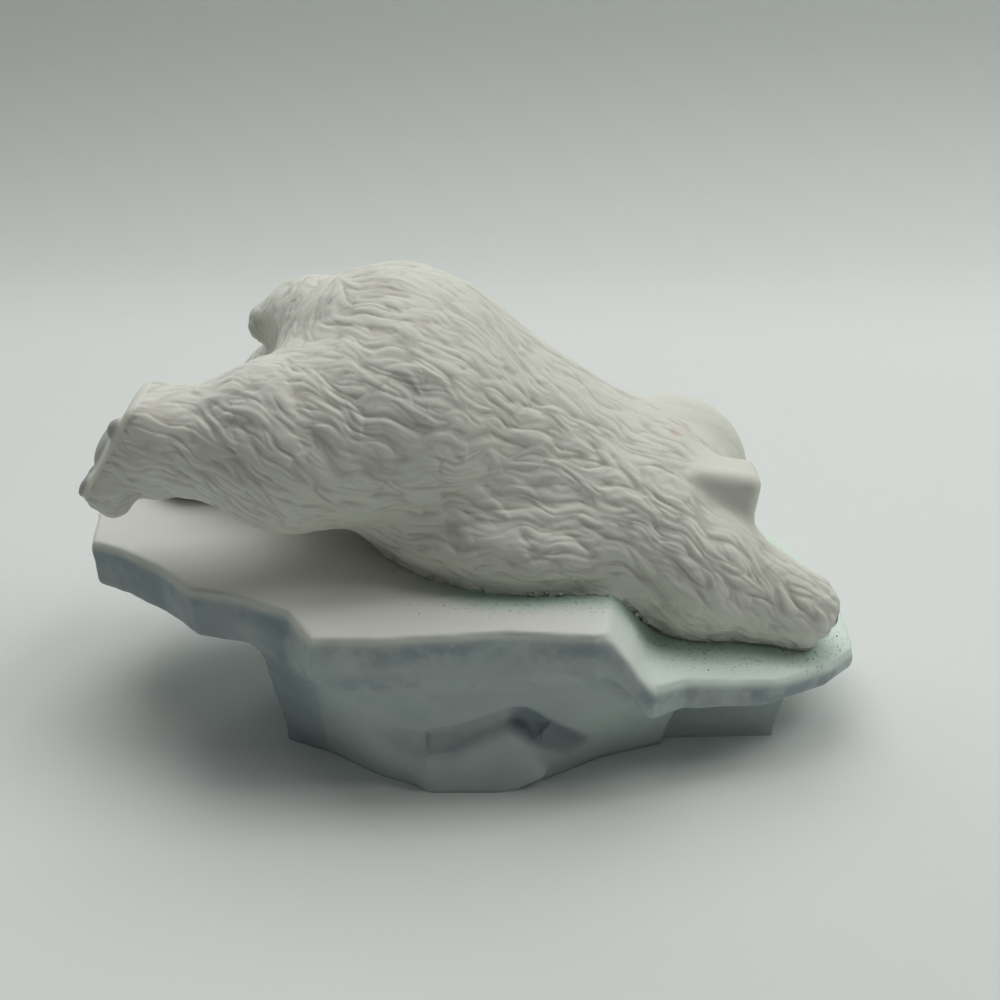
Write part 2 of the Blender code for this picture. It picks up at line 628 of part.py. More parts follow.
def grown_locks(random):
    """Where the main locks grow: their roots, spread over the bear, and the outward way there."""
    ends = (PAW_AT, HIND_PAW_AT, WITHERS_AT, NOSE_AT, FAR_PAW_AT, FAR_FOOT_AT)
    ends = np.array([above_ice(place) for place in ends])
    tries = random.uniform(ends.min(axis=0) - CHEST[0], ends.max(axis=0) + CHEST[0], (LOCK_TRIES, 3))
    roots = drawn_in(tries, bear, 10, LONGEST_SLIDE)
    level, slope = slope_of(bear, roots)
    normals = slope / np.linalg.norm(slope, axis=1, keepdims=True)
    height = roots[:, 2] - ice_top(roots[:, 0], roots[:, 1])
    good = (np.abs(level) < SLOPE_REACH) & (height > LOCK_CLEAR)
    roots, normals = roots[good], normals[good]
    cells = np.floor(roots / LOCK_SPACING).astype(np.int64)
    keys = (cells - cells.min(axis=0)) @ np.array([1, 1000, 1000000])
    first = np.sort(np.unique(keys, return_index=True)[1])
    return roots[first], normals[first]


def carve_locks(mesh):
    """Raise overlapping pointed locks of fur that follow the combing."""
    points, normals = points_of(mesh), normals_of(mesh)
    tree = kdtree.KDTree(len(points))
    for index, point in enumerate(points):
        tree.insert(point, index)
    tree.balance()
    random = np.random.default_rng(LOCK_SEED)
    roots, outward = grown_locks(random)
    raised = np.zeros(len(points))
    for root, up, way in zip(roots, outward, combed(roots, outward)):
        length = LOCK_LENGTH * random.uniform(0.75, 1.25)
        width = LOCK_WIDTH * random.uniform(0.75, 1.25)
        bend, peak = random.uniform(-0.8, 0.8), random.uniform(0.7, 1.0)
        near = tree.find_range(root + 0.5 * length * way, 0.55 * length)
        if not near:
            continue
        found = np.array([item[1] for item in near])
        offset = points[found] - root
        along = np.clip(offset @ way / length, 0.0, 1.0)
        side = offset @ np.cross(up, way) / width + 4.0 * bend * along * (1.0 - along)
        taper = np.sqrt((1.0 - along) * np.clip(5.0 * along, 0.0, 1.0)) + 1e-6
        ridge = np.clip(1.0 - (2.0 * side / taper) ** 2, 0.0, 1.0) ** 0.7
        rise = along ** 0.7 * np.clip(6.0 * (1.0 - along), 0.0, 1.0)
        height = peak * ridge * (0.35 + 0.65 * rise)
        raised[found] = np.maximum(raised[found], np.where(normals[found] @ up > 0.3, height, 0.0))
    lift = LOCK_RELIEF * (raised - 0.5) * fur_share(points)
    move_points(mesh, points + lift[:, None] * normals)


def thinned(mesh, triangles):
    """The mesh with about the given number of triangles."""
    now = sum(len(face.vertices) - 2 for face in mesh.polygons)
    return with_modifier(mesh, "DECIMATE", ratio=min(1.0, triangles / now), use_collapse_triangulate=True)


def ground_flat(mesh):
    """Cut the underside off level at the table and close it with one flat face."""
    bm = bmesh.new()
    bm.from_mesh(mesh)
    everything = bm.verts[:] + bm.edges[:] + bm.faces[:]
    result = bmesh.ops.bisect_plane(
        bm, geom=everything, dist=1e-6, plane_co=(0.0, 0.0, 0.0), plane_no=(0.0, 0.0, 1.0), clear_inner=True,
    )
    rim = [item for item in result["geom_cut"] if isinstance(item, bmesh.types.BMEdge)]
    bmesh.ops.holes_fill(bm, edges=rim, sides=0)
    bmesh.ops.recalc_face_normals(bm, faces=bm.faces)
    bm.to_mesh(mesh)
    bm.free()


def centred(mesh):
    """Put the middle of the plan on the origin and return the shift."""
    points = points_of(mesh)
    shift = -0.5 * (points.min(axis=0) + points.max(axis=0))
    shift[2] = 0.0
    move_points(mesh, points + shift)
    return Vector(shift)


def porcelain():
    """Unglazed bisque, warm white."""
    material = bpy.data.materials.new("bisque_porcelain")
    material.use_nodes = True
    shader = material.node_tree.nodes["Principled BSDF"]
    shader.inputs["Base Color"].default_value = PORCELAIN_CREAM
    shader.inputs["Roughness"].default_value = 0.62
    shader.inputs["Metallic"].default_value = 0.0
    return material


def settled(rough, field, voxel, rounds):
    """A rough mesh remeshed into one skin and settled on its field."""
    skin = with_modifier(rough, "REMESH", mode="VOXEL", voxel_size=voxel, adaptivity=0.0)
    settle(skin, field, rounds)
    relax(skin, 2)
    settle(skin, field, 2)
    return skin


def add_object(name, mesh):
    thing = bpy.data.objects.new(name, mesh)
    bpy.context.scene.collection.objects.link(thing)
    return thing


def add_cutter(name, mesh, target):
    """A hidden object that an exact Boolean takes out of the target."""
    cutter = add_object(name, mesh)
    cutter.hide_render = True
    cutter.display_type = "WIRE"
    boolean = target.modifiers.new(name, "BOOLEAN")
    boolean.operation = "DIFFERENCE"
    boolean.solver = "EXACT"
    boolean.object = cutter
    return cutter


def vent_mesh():
    """The firing vent, from below the table into the foot's hollow."""
    bm = bmesh.new()
    depth = 3.0 * WALL
    place = Matrix.Translation((*VENT_PLACE, 0.5 * depth - WALL))
    radius = 0.5 * VENT_DIAMETER
    bmesh.ops.create_cone(
        bm, cap_ends=True, segments=32, radius1=radius, radius2=radius, depth=depth, matrix=place,
    )
    return mesh_from(bm, "vent")


def main():
    for thing in list(bpy.data.objects):
        bpy.data.objects.remove(thing)
    skin = settled(rough_skin(), figurine, VOXEL, 6)
    carve_locks(skin)
    skin = thinned(skin, SKIN_TRIANGLES)
    ground_flat(skin)
    shift = centred(skin)
    skin.shade_smooth()
    skin.set_sharp_from_angle(angle=math.radians(40.0))
    skin.materials.append(porcelain())
    bear_on_ice = add_object("polar_bear_figurine", skin)

    hollow = thinned(settled(rough_cavity(), cavity, 2.0 * VOXEL, 6), CAVITY_TRIANGLES)
    hollow.transform(Matrix.Translation(shift))
    add_cutter("cavity_cutter", hollow, bear_on_ice)
    vent = vent_mesh()
    vent.transform(Matrix.Translation(shift))
    add_cutter("vent_cutter", vent, bear_on_ice)


main()
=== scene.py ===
"""Looks of the polar bear figurine: carved bisque fur, an airbrushed ice floe and mineral grains.

The forms are the part's own named masses, in metres and in the same frame, blended into each
other. Here they are settled on a finer skin, carved lock by lock, and given their finish. The
tail, the raised forepaw and the near hind leg's end are placed a little more closely than there.
"""
import math

import bpy
import numpy as np
from mathutils import Matrix, Vector, kdtree


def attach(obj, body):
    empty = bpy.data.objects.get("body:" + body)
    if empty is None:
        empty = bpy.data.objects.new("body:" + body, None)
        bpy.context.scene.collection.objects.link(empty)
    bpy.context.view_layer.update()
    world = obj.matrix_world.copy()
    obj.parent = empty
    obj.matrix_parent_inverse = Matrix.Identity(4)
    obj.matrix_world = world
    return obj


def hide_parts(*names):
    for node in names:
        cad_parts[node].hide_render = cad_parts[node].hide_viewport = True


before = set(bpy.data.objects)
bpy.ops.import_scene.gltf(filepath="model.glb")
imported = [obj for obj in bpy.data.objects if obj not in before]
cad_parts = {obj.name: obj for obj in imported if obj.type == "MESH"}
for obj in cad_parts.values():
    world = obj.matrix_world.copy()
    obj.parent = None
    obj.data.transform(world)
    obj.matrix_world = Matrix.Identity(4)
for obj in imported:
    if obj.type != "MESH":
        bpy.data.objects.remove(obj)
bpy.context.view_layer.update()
NODE = "polar_bear_figurine"

# Ice floe
FLOE_TOP = 0.0400
PLATE_THICKNESS = 0.0125
PLATE_THINNING = 0.0060
RAMP_START = 0.0270
RAMP_RUN = 0.0120
RAMP_DROP = 0.0138
RAMP_FALL = 0.20
RAMP_TILT = 0.10
RAMP_LEAD = 0.0050
BREAK_SKEW = 0.12
TILT_LINE = -0.0400
FOOT_HEIGHT = 0.0270
GROOVE_RADIUS = 0.0025
EDGE_ROUND = 0.0022
SIDE_LEAN = 0.05
FOOT_SEAT = 0.4
HEEL_SEAT = 0.3
VENT_DIAMETER = 0.0090
VENT_PLACE = (0.000, 0.004)
VENT_DEPTH = 0.0080
LEVEL_CORNER = 7
LOW_CORNER = 15
PLATE_OUTLINE = [
    (-0.0870, 0.0110), (-0.0845, -0.0045), (-0.0770, -0.0085), (-0.0670, -0.0170),
    (-0.0580, -0.0270), (-0.0460, -0.0310), (-0.0370, -0.0365), (-0.0310, -0.0475),
    (-0.0160, -0.0476), (0.0080, -0.0448), (0.0260, -0.0465), (0.0390, -0.0435),
    (0.0460, -0.0388), (0.0660, -0.0335), (0.0790, -0.0245), (0.0865, -0.0160),
    (0.0870, 0.0050), (0.0810, 0.0200), (0.0680, 0.0365), (0.0400, 0.0450),
    (-0.0100, 0.0475), (-0.0550, 0.0430), (-0.0800, 0.0290),
]
FOOT_LOW = [
    (-0.0400, -0.0230), (-0.0300, -0.0280), (-0.0186, -0.0366), (-0.0077, -0.0420),
    (0.0170, -0.0380), (0.0290, -0.0300), (0.0430, -0.0245), (0.0460, 0.0000),
    (0.0400, 0.0340), (-0.0100, 0.0360), (-0.0360, 0.0240), (-0.0440, 0.0000),
]
FOOT_HIGH = [
    (-0.0440, -0.0300), (-0.0335, -0.0410), (-0.0220, -0.0455), (-0.0090, -0.0450),
    (0.0170, -0.0435), (0.0320, -0.0425), (0.0480, -0.0360), (0.0520, 0.0000),
    (0.0460, 0.0380), (-0.0100, 0.0410), (-0.0420, 0.0300), (-0.0500, 0.0000),
]
HEEL_LOW = [
    (0.0400, -0.0225), (0.0680, -0.0215), (0.0710, 0.0000), (0.0620, 0.0240), (0.0400, 0.0300),
]
HEEL_HIGH = [
    (0.0400, -0.0250), (0.0730, -0.0260), (0.0770, 0.0000), (0.0680, 0.0300), (0.0400, 0.0360),
]

# The lobe that stands out low on the near side of the foot
LOBE = (0.0130, 0.0080, 0.0080)
LOBE_AT = (0.0031, -0.0350, 0.0045)
LOBE_LEAN = -25
LOBE_EDGE = 0.0030

CLEFTS = [
    [(-0.0250, -0.0450, 0.0155, 0.6), (-0.0130, -0.0435, 0.0115, 1.0),
     (-0.0040, -0.0430, 0.0122, 1.0), (0.0100, -0.0425, 0.0180, 0.7)],
    [(-0.0240, -0.0480, 0.0235, 0.7), (-0.0090, -0.0475, 0.0195, 1.1)],
    [(0.0120, -0.0420, 0.0170, 0.9), (0.0240, -0.0380, 0.0070, 0.9)],
    [(0.0270, -0.0435, 0.0155, 0.9), (0.0460, -0.0375, 0.0135, 1.0)],
]

# Bear, girths
CHEST = (0.0295, 0.0260, 0.0290)
LOIN = (0.0340, 0.0260, 0.0230)
RUMP = (0.0250, 0.0260, 0.0180)
BELLY = (0.0400, 0.0320, 0.0160)
FAR_HAUNCH = (0.0175, 0.0160, 0.0170)
SKULL = (0.0115, 0.0120, 0.0100)
EAR = (0.0046, 0.0028, 0.0046)
NECK_RADIUS = 0.0175
NAPE_RADIUS = 0.0120
CHEEK_RADIUS = 0.0090
MUZZLE_RADIUS = 0.0084
MUZZLE_TIP_RADIUS = 0.0058
NOSE_RADIUS = 0.0026
EYE_RADIUS = 0.0013
PAW_HEEL = (0.0072, 0.0088, 0.0058)
SHOULDER_RADIUS = 0.0230
ELBOW_RADIUS = 0.0190
FOREARM_RADIUS = 0.0155
WRIST_RADIUS = 0.0120
PAW = (0.0050, 0.0105, 0.0132)
PAW_EDGE = 0.0040
PALM_PAD = (0.0021, 0.0066, 0.0052)
WRIST_PAD = (0.0018, 0.0020, 0.0024)
TOE_PAD = (0.0012, 0.0019, 0.0026)
FAR_ELBOW_RADIUS = 0.0115
THIGH_RADIUS = 0.0190
HOCK_RADIUS = 0.0136
FAR_KNEE_RADIUS = 0.0120
FAR_PAW = (0.0125, 0.0105, 0.0070)
FOOT_RADIUS = 0.0083
TAIL = (0.0078, 0.0062, 0.0082)
TAIL_EDGE = 0.0030

# Bear, landmarks: X, Y and height above the level ice
CHEST_AT = (-0.0140, 0.0040, 0.0310)
LOIN_AT = (0.0120, 0.0020, 0.0190)
RUMP_AT = (0.0370, 0.0030, 0.0105)
BELLY_AT = (0.0120, 0.0000, 0.0080)
FAR_HAUNCH_AT = (0.0465, 0.0150, 0.0095)
WITHERS_AT = (-0.0180, 0.0080, 0.0400)
NAPE_AT = (-0.0310, 0.0150, 0.0420)
SKULL_AT = (-0.0350, 0.0180, 0.0440)
BROW_AT = (-0.0358, 0.0245, 0.0415)
NOSE_AT = (-0.0368, 0.0390, 0.0345)
NEAR_EAR_AT = (-0.0247, 0.0120, 0.0480)
FAR_EAR_AT = (-0.0446, 0.0165, 0.0440)
SHOULDER_AT = (-0.0120, -0.0080, 0.0315)
ELBOW_AT = (-0.0360, -0.0155, 0.0285)
WRIST_AT = (-0.0560, -0.0170, 0.0293)
PAW_AT = (-0.0686, -0.0170, 0.0277)
PAW_HEEL_AT = (-0.0650, -0.0162, 0.0230)
FAR_SHOULDER_AT = (-0.0160, 0.0180, 0.0320)
FAR_ELBOW_AT = (-0.0410, 0.0240, 0.0250)
FAR_PAW_AT = (-0.0600, 0.0250, 0.0060)
HIP_AT = (0.0340, -0.0100, 0.0060)
HOCK_AT = (0.0497, -0.0160, -0.0006)
HIND_PAW_AT = (0.0728, -0.0168, -0.0100)
FAR_HIP_AT = (0.0440, 0.0160, 0.0060)
FAR_KNEE_AT = (0.0260, 0.0320, 0.0020)
FAR_FOOT_AT = (0.0520, 0.0320, -0.0060)
TAIL_AT = (0.0542, -0.0100, 0.0132)

# Leans in degrees about Y: the trunk's masses, the tail and the raised paw's sole
CHEST_LEAN = 22
LOIN_LEAN = 35
RUMP_LEAN = 18
BELLY_LEAN = 6
HAUNCH_LEAN = 10
TAIL_LEAN = 8
PAW_TURN = 31

# Reach of the blends between masses
TRUNK_BLEND = 0.0080
NECK_BLEND = 0.0070
LIMB_BLEND = 0.0050
FINE_BLEND = 0.0025
PAD_BLEND = 0.0008
SEAT_BLEND = 0.0040
RIM_CLEAR = 0.0025

# Fur: the part's main locks, tufts carved into them, and the fine strands of the tufts
LOCK_LENGTH = 0.0150
LOCK_WIDTH = 0.0064
LOCK_RELIEF = 0.0012
LOCK_SPACING = 0.0062
LOCK_CLEAR = 0.0020
LOCK_TRIES = 9000
LOCK_SEED = 11
LOCK_SOFTNESS = 0.45
SKIN_DEPTH = 0.00012
TUFT_WIDTH = 0.0030
TUFT_REACH = 0.0070
TUFT_RELIEF = 0.00042
TUFT_SEED = 5
STRAND_WIDTH = 0.00115
STRAND_REACH = 0.0046
STRAND_RELIEF = 0.00030
STRAND_SEED = 8
STRAND_WAVE = 0.30
WAVE_TURN = 0.18
WAVE_LENGTH = 0.0090
SLOPE_REACH = 0.0003
LONGEST_SLIDE = 0.0080
COMB_REACH = 0.0140
COMB_WAVE = 0.60
COMB_WAVELENGTH = 0.0130
COMBING = [
    ((-0.0700, -0.0250, 0.0270), (1.00, 0.00, -0.10)),
    ((-0.0580, -0.0280, 0.0300), (1.00, 0.00, -0.35)),
    ((-0.0460, -0.0300, 0.0280), (0.75, 0.00, -0.70)),
    ((-0.0340, -0.0320, 0.0240), (0.70, 0.00, -0.70)),
    ((-0.0200, -0.0300, 0.0140), (1.00, 0.00, -0.15)),
    ((-0.0340, -0.0180, 0.0460), (0.75, -0.30, -0.50)),
    ((-0.0180, -0.0250, 0.0400), (0.95, -0.10, -0.35)),
    ((-0.0140, 0.0000, 0.0600), (1.00, -0.25, -0.25)),
    ((-0.0140, 0.0200, 0.0550), (1.00, 0.30, -0.30)),
    ((-0.0360, 0.0100, 0.0520), (-0.35, -0.60, -0.70)),
    ((-0.0360, 0.0350, 0.0350), (0.20, -1.00, 0.30)),
    ((0.0050, -0.0250, 0.0250), (1.00, 0.00, -0.15)),
    ((0.0200, -0.0250, 0.0150), (1.00, 0.00, -0.25)),
    ((0.0140, 0.0000, 0.0460), (0.85, -0.20, -0.50)),
    ((0.0140, 0.0250, 0.0300), (0.85, 0.20, -0.50)),
    ((0.0400, -0.0050, 0.0280), (0.90, -0.10, -0.50)),
    ((0.0500, 0.0200, 0.0250), (0.80, 0.20, -0.60)),
    ((0.0450, -0.0250, 0.0080), (0.75, 0.00, -0.65)),
    ((0.0600, -0.0250, -0.0020), (0.65, -0.10, -0.75)),
    ((0.0780, -0.0220, -0.0100), (0.80, 0.00, -0.60)),
    ((0.0150, -0.0280, 0.0050), (1.00, 0.00, -0.05)),
    ((-0.0450, 0.0300, 0.0150), (-0.80, 0.20, -0.60)),
    ((0.0400, 0.0350, 0.0000), (0.80, 0.20, -0.50)),
]

# Meshing: the bear is dressed in two stretches along X, so that neither passes 200,000 triangles
VOXEL = 0.0014
DETAIL = 2
BEAR_TRIANGLES = 392000
ICE_TRIANGLES = 150000
EMBED = 0.0020
UNDER_FUR = 0.0004
MOUTH_RADIUS = 0.0005
TOE_CUT_RADIUS = 0.0010
SEAM_CENTRE = (0.010, 0.000, 0.060)
GRAINS = 260
GRAIN_SPREAD = 0.0022
GRAIN_SEED = 3
STAIN_AT = (0.0452, -0.0040, 0.0668)
UNDER_TABLE = 0.0030
STRATUM = 0.0085
ICE_RELIEF = 0.00032
ICE_SEED = 21

# Camera, found from the figurine's outline in the photograph
CAMERA_ELEVATION = 25.0
CAMERA_DISTANCE = 0.335
CAMERA_AIM = (0.00715, 0.0, 0.04809)
FOCAL_PIXELS = 1500.0
FRAME_PIXELS = 1000.0
SENSOR = 36.0


def unit(values):
    """The values, held between 0 and 1."""
    return np.clip(values, 0.0, 1.0)


def blend(a, b, reach):
    """The union of two distances, with a fillet of the given reach."""
    share = unit(0.5 + 0.5 * (b - a) / reach)
    return b + (a - b) * share - reach * share * (1.0 - share)


def cut(a, b, reach):
    """What two distances have in common, with its edge rounded."""
    return -blend(-a, -b, reach)


def lift(place):
    """A landmark of the bear, lifted onto the ice."""
    return Vector((place[0], place[1], place[2] + FLOE_TOP))


def deselect():
    """Nothing stays selected, so that the next operator acts on what it is meant for."""
    for thing in bpy.context.selected_objects:
        thing.select_set(False)


def add_ball(at, radii, lean=0.0):
    """A rough ball at its place, leaned about Y."""
    bpy.ops.mesh.primitive_ico_sphere_add(
        subdivisions=3, radius=1.0, location=at, rotation=(0.0, math.radians(lean), 0.0), scale=radii,
    )
    return bpy.context.object


class Ball:
    """An ellipsoid, leaned about Y."""

    def __init__(self, at, radii, lean=0.0):
        self.at, self.radii, self.lean = Vector(at), np.array(radii), lean
        self.rows = np.array(Matrix.Rotation(math.radians(lean), 3, "Y"))

    def distance(self, points):
        local = (points - np.array(self.at)) @ self.rows
        inner = np.linalg.norm(local / self.radii, axis=1)
        outer = np.linalg.norm(local / self.radii ** 2, axis=1) + 1e-9
        return inner * (inner - 1.0) / outer

    def add_rough(self):
        return [add_ball(self.at, self.radii, self.lean)]


class Limb:
    """A round limb that tapers from one landmark to the next."""

    def __init__(self, start, end, start_radius, end_radius):
        self.start, self.end = Vector(start), Vector(end)
        self.radii = (start_radius, end_radius)

    def distance(self, points):
        start, run = np.array(self.start), np.array(self.end - self.start)
        share = unit((points - start) @ run / (run @ run))
        radius = self.radii[0] + (self.radii[1] - self.radii[0]) * share
        return np.linalg.norm(points - start - share[:, None] * run, axis=1) - radius

    def add_rough(self):
        run = self.end - self.start
        rough = [add_ball(at, (radius,) * 3) for at, radius in zip((self.start, self.end), self.radii)]
        bpy.ops.mesh.primitive_cone_add(
            vertices=24, radius1=self.radii[0], radius2=self.radii[1], depth=run.length,
            location=(self.start + self.end) / 2.0, rotation=run.to_track_quat("Z", "Y").to_euler(),
        )
        return rough + [bpy.context.object]


class Slab:
    """A block with rounded edges, leaned about Y."""

    def __init__(self, at, half, edge, lean=0.0):
        self.at, self.half, self.edge, self.lean = Vector(at), np.array(half), edge, lean
        self.rows = np.array(Matrix.Rotation(math.radians(lean), 3, "Y"))

    def distance(self, points):
        local = np.abs((points - np.array(self.at)) @ self.rows) - self.half + self.edge
        outside = np.linalg.norm(np.maximum(local, 0.0), axis=1)
        return outside + np.minimum(local.max(axis=1), 0.0) - self.edge

    def add_rough(self):
        bpy.ops.mesh.primitive_cube_add(
            size=2.0, location=self.at, rotation=(0.0, math.radians(self.lean), 0.0), scale=self.half,
        )
        return [bpy.context.object]


def raised_sole():
    """The low pads on the sole of the raised forepaw: palm, wrist and toes."""
    turn = Matrix.Rotation(math.radians(PAW_TURN), 3, "Y")
    face = lift(PAW_AT) + turn @ Vector((-PAW[0], 0.0, 0.0))
    wide, tall = TOE_PAD[1:]
    spots = [(0.0, -0.11 * PAW[2], PALM_PAD), (-0.62 * PAW[1], 0.40 * PAW[2], WRIST_PAD)]
    for step in (-1.5, -0.5, 0.5, 1.5):
        rise = 0.5 * tall * (1.0 - (step / 1.5) ** 2)
        spots.append((2.2 * step * wide, -0.11 * PAW[2] - PALM_PAD[2] - 1.1 * tall - rise, TOE_PAD))
    pads = [Ball(face + turn @ Vector((0.0, across, up)), size, PAW_TURN) for across, up, size in spots]
    return [(pad, PAD_BLEND) for pad in pads]


def nose_ball():
    """The leather of the nose, set into the tip of the muzzle."""
    out = 0.5 * NOSE_RADIUS
    place = Vector((0.0, MUZZLE_TIP_RADIUS - out, out))
    return Ball(lift(NOSE_AT) + place, (1.2 * NOSE_RADIUS, NOSE_RADIUS, NOSE_RADIUS))


def tail_slab():
    """The stub of the tail."""
    return Slab(lift(TAIL_AT), TAIL, TAIL_EDGE, TAIL_LEAN)


def bear_masses():
    """Every mass of the bear with the reach of its blend into those before it."""
    cheek = Vector((lift(SKULL_AT).x, lift(FAR_EAR_AT).y, lift(SKULL_AT).z))
    trunk = [
        (Ball(lift(CHEST_AT), CHEST, CHEST_LEAN), 0.0),
        (Ball(lift(LOIN_AT), LOIN, LOIN_LEAN), TRUNK_BLEND),
        (Ball(lift(RUMP_AT), RUMP, RUMP_LEAN), TRUNK_BLEND),
        (Ball(lift(BELLY_AT), BELLY, BELLY_LEAN), TRUNK_BLEND),
        (Ball(lift(FAR_HAUNCH_AT), FAR_HAUNCH, HAUNCH_LEAN), FINE_BLEND),
        (Limb(lift(WITHERS_AT), lift(NAPE_AT), NECK_RADIUS, NAPE_RADIUS), NECK_BLEND),
    ]
    head = [
        (Ball(lift(SKULL_AT), SKULL), FINE_BLEND),
        (Limb(cheek, lift(FAR_EAR_AT), CHEEK_RADIUS, EAR[2]), FINE_BLEND),
        (Limb(lift(BROW_AT), lift(NOSE_AT), MUZZLE_RADIUS, MUZZLE_TIP_RADIUS), LIMB_BLEND),
        (nose_ball(), PAD_BLEND),
        (Ball(lift(NEAR_EAR_AT), EAR), FINE_BLEND),
    ]
    forelegs = [
        (Limb(lift(SHOULDER_AT), lift(ELBOW_AT), SHOULDER_RADIUS, ELBOW_RADIUS), LIMB_BLEND),
        (Limb(lift(ELBOW_AT), lift(WRIST_AT), FOREARM_RADIUS, WRIST_RADIUS), LIMB_BLEND),
        (Slab(lift(PAW_AT), PAW, PAW_EDGE, PAW_TURN), LIMB_BLEND),
        (Ball(lift(PAW_HEEL_AT), PAW_HEEL, PAW_TURN), FINE_BLEND),
        (Limb(lift(FAR_SHOULDER_AT), lift(FAR_ELBOW_AT), NECK_RADIUS, FAR_ELBOW_RADIUS), LIMB_BLEND),
        (Limb(lift(FAR_ELBOW_AT), lift(FAR_PAW_AT), FAR_ELBOW_RADIUS, FOOT_RADIUS), LIMB_BLEND),
        (Ball(lift(FAR_PAW_AT) - Vector((0.3 * FAR_PAW[0], 0.0, 0.0)), FAR_PAW), FINE_BLEND),
    ]
    hind_legs = [
        (Limb(lift(HIP_AT), lift(HOCK_AT), THIGH_RADIUS, HOCK_RADIUS), LIMB_BLEND),
        (Limb(lift(HOCK_AT), lift(HIND_PAW_AT), HOCK_RADIUS, FOOT_RADIUS), LIMB_BLEND),
        (Limb(lift(FAR_HIP_AT), lift(FAR_KNEE_AT), NECK_RADIUS, FAR_KNEE_RADIUS), LIMB_BLEND),
        (Limb(lift(FAR_KNEE_AT), lift(FAR_FOOT_AT), FAR_KNEE_RADIUS, FOOT_RADIUS), LIMB_BLEND),
        (Ball(lift(FAR_FOOT_AT) + Vector((0.3 * FAR_PAW[0], 0.0, 0.0)), FAR_PAW), FINE_BLEND),
        (tail_slab(), FINE_BLEND),
    ]
    return trunk + head + forelegs + raised_sole() + hind_legs


def union_of(masses, points):
    """The blended distance of a list of masses."""
    total = masses[0][0].distance(points)
    for mass, reach in masses[1:]:
        total = blend(total, mass.distance(points), reach)
    return total


def bear_form(points):
    """Distance to the bear's blended masses."""
    return union_of(bear_masses(), points)


def face_cuts(points):
    """Distance to what is cut into the face and feet: the mouth, the ears' cups and between the toes."""
    cuts = np.full(len(points), 1.0)
    for start, end, radius in fine_cuts():
        cuts = np.minimum(cuts, Limb(start, end, radius, 0.6 * radius).distance(points))
    return cuts


def fine_cuts():
    """Runs and radii of the finest cuts: the mouth's five, the cups of the ears, and the toes."""
    nose = lift(NOSE_AT) + Vector((0.0, MUZZLE_TIP_RADIUS, -0.2 * MUZZLE_TIP_RADIUS))
    lip = lift(NOSE_AT) + Vector((0.0, 0.90 * MUZZLE_TIP_RADIUS, -0.62 * MUZZLE_TIP_RADIUS))
    cuts = [(nose, lip, MOUTH_RADIUS)]
    for side in (-1.0, 1.0):
        cheek = lift(NOSE_AT) + Vector((side * 0.90 * MUZZLE_TIP_RADIUS, 0.0, -0.62 * MUZZLE_TIP_RADIUS))
        corner = lift(BROW_AT) + Vector((side * 0.98 * MUZZLE_RADIUS, 0.002, -0.45 * MUZZLE_RADIUS))
        cuts += [(lip, cheek, MOUTH_RADIUS), (cheek, corner, MOUTH_RADIUS)]
    for ear in (NEAR_EAR_AT, FAR_EAR_AT):
        cup = lift(ear) + Vector((0.0, 1.1 * EAR[1], 0.1 * EAR[2]))
        cuts.append((cup, cup + Vector((0.0, 0.001, 0.0)), 0.55 * EAR[0]))
    for paw, way in ((FAR_PAW_AT, -1.0), (FAR_FOOT_AT, 1.0)):
        for across in (-0.5, 0.0, 0.5):
            high = lift(paw) + Vector((way * 0.75 * FAR_PAW[0], across * FAR_PAW[1], 0.85 * FAR_PAW[2]))
            low = lift(paw) + Vector((way * 1.34 * FAR_PAW[0], 1.25 * across * FAR_PAW[1], -0.5 * FAR_PAW[2]))
            cuts.append((high, low, TOE_CUT_RADIUS))
    return cuts


def eye_places():
    """The two eyes, on the skull beside the muzzle."""
    middle = lift(BROW_AT) + Vector((0.0, 0.0036, 0.55 * MUZZLE_RADIUS))
    places = [middle + Vector((side * 0.72 * MUZZLE_RADIUS, 0.0, 0.0)) for side in (-1.0, 1.0)]
    return drawn_in(np.array(places), bear_form, 8, 0.002)


def bear(points):
    """The bear with its fur coming down on the ice, ending just inside the ice it lies on."""
    form = bear_form(points)
    height = points[:, 2] - ice_top(points[:, 0], points[:, 1])
    body = blend(form, height + UNDER_FUR, SEAT_BLEND)
    body = cut(body, form - SEAT_BLEND, UNDER_FUR)
    seat = np.flatnonzero((np.abs(height) < SEAT_BLEND) & (form > -UNDER_FUR) & (form < SEAT_BLEND))
    rim = outline_distance(points[seat], PLATE_OUTLINE, PLATE_OUTLINE) + RIM_CLEAR
    body[seat] = cut(body[seat], blend(form[seat], rim, UNDER_FUR), UNDER_FUR)
    for place in eye_places():
        body = blend(body, Ball(place, (EYE_RADIUS,) * 3).distance(points), 0.3 * EYE_RADIUS)
    body = cut(body, -face_cuts(points), 0.5 * MOUTH_RADIUS)
    return cut(body, -height - EMBED, 0.5 * EMBED)


def ice_top(x, y):
    """Height of the ice: level, a break down the near side, then a low slope to +X."""
    start = RAMP_START + BREAK_SKEW * (y - PLATE_OUTLINE[LEVEL_CORNER][1])
    share = unit((x - start) / RAMP_RUN)
    share = share * share * (3.0 - 2.0 * share)
    past = np.maximum(x - RAMP_START - RAMP_RUN, -RAMP_LEAD)
    low = FLOE_TOP - RAMP_DROP - RAMP_FALL * past + RAMP_TILT * (y - TILT_LINE)
    return FLOE_TOP * (1.0 - share) + low * share


def plate_thickness(x):
    """The sheet of ice thins toward its low end."""
    share = unit((x - RAMP_START) / (PLATE_OUTLINE[LOW_CORNER][0] - RAMP_START))
    return PLATE_THICKNESS - PLATE_THINNING * np.sqrt(share)


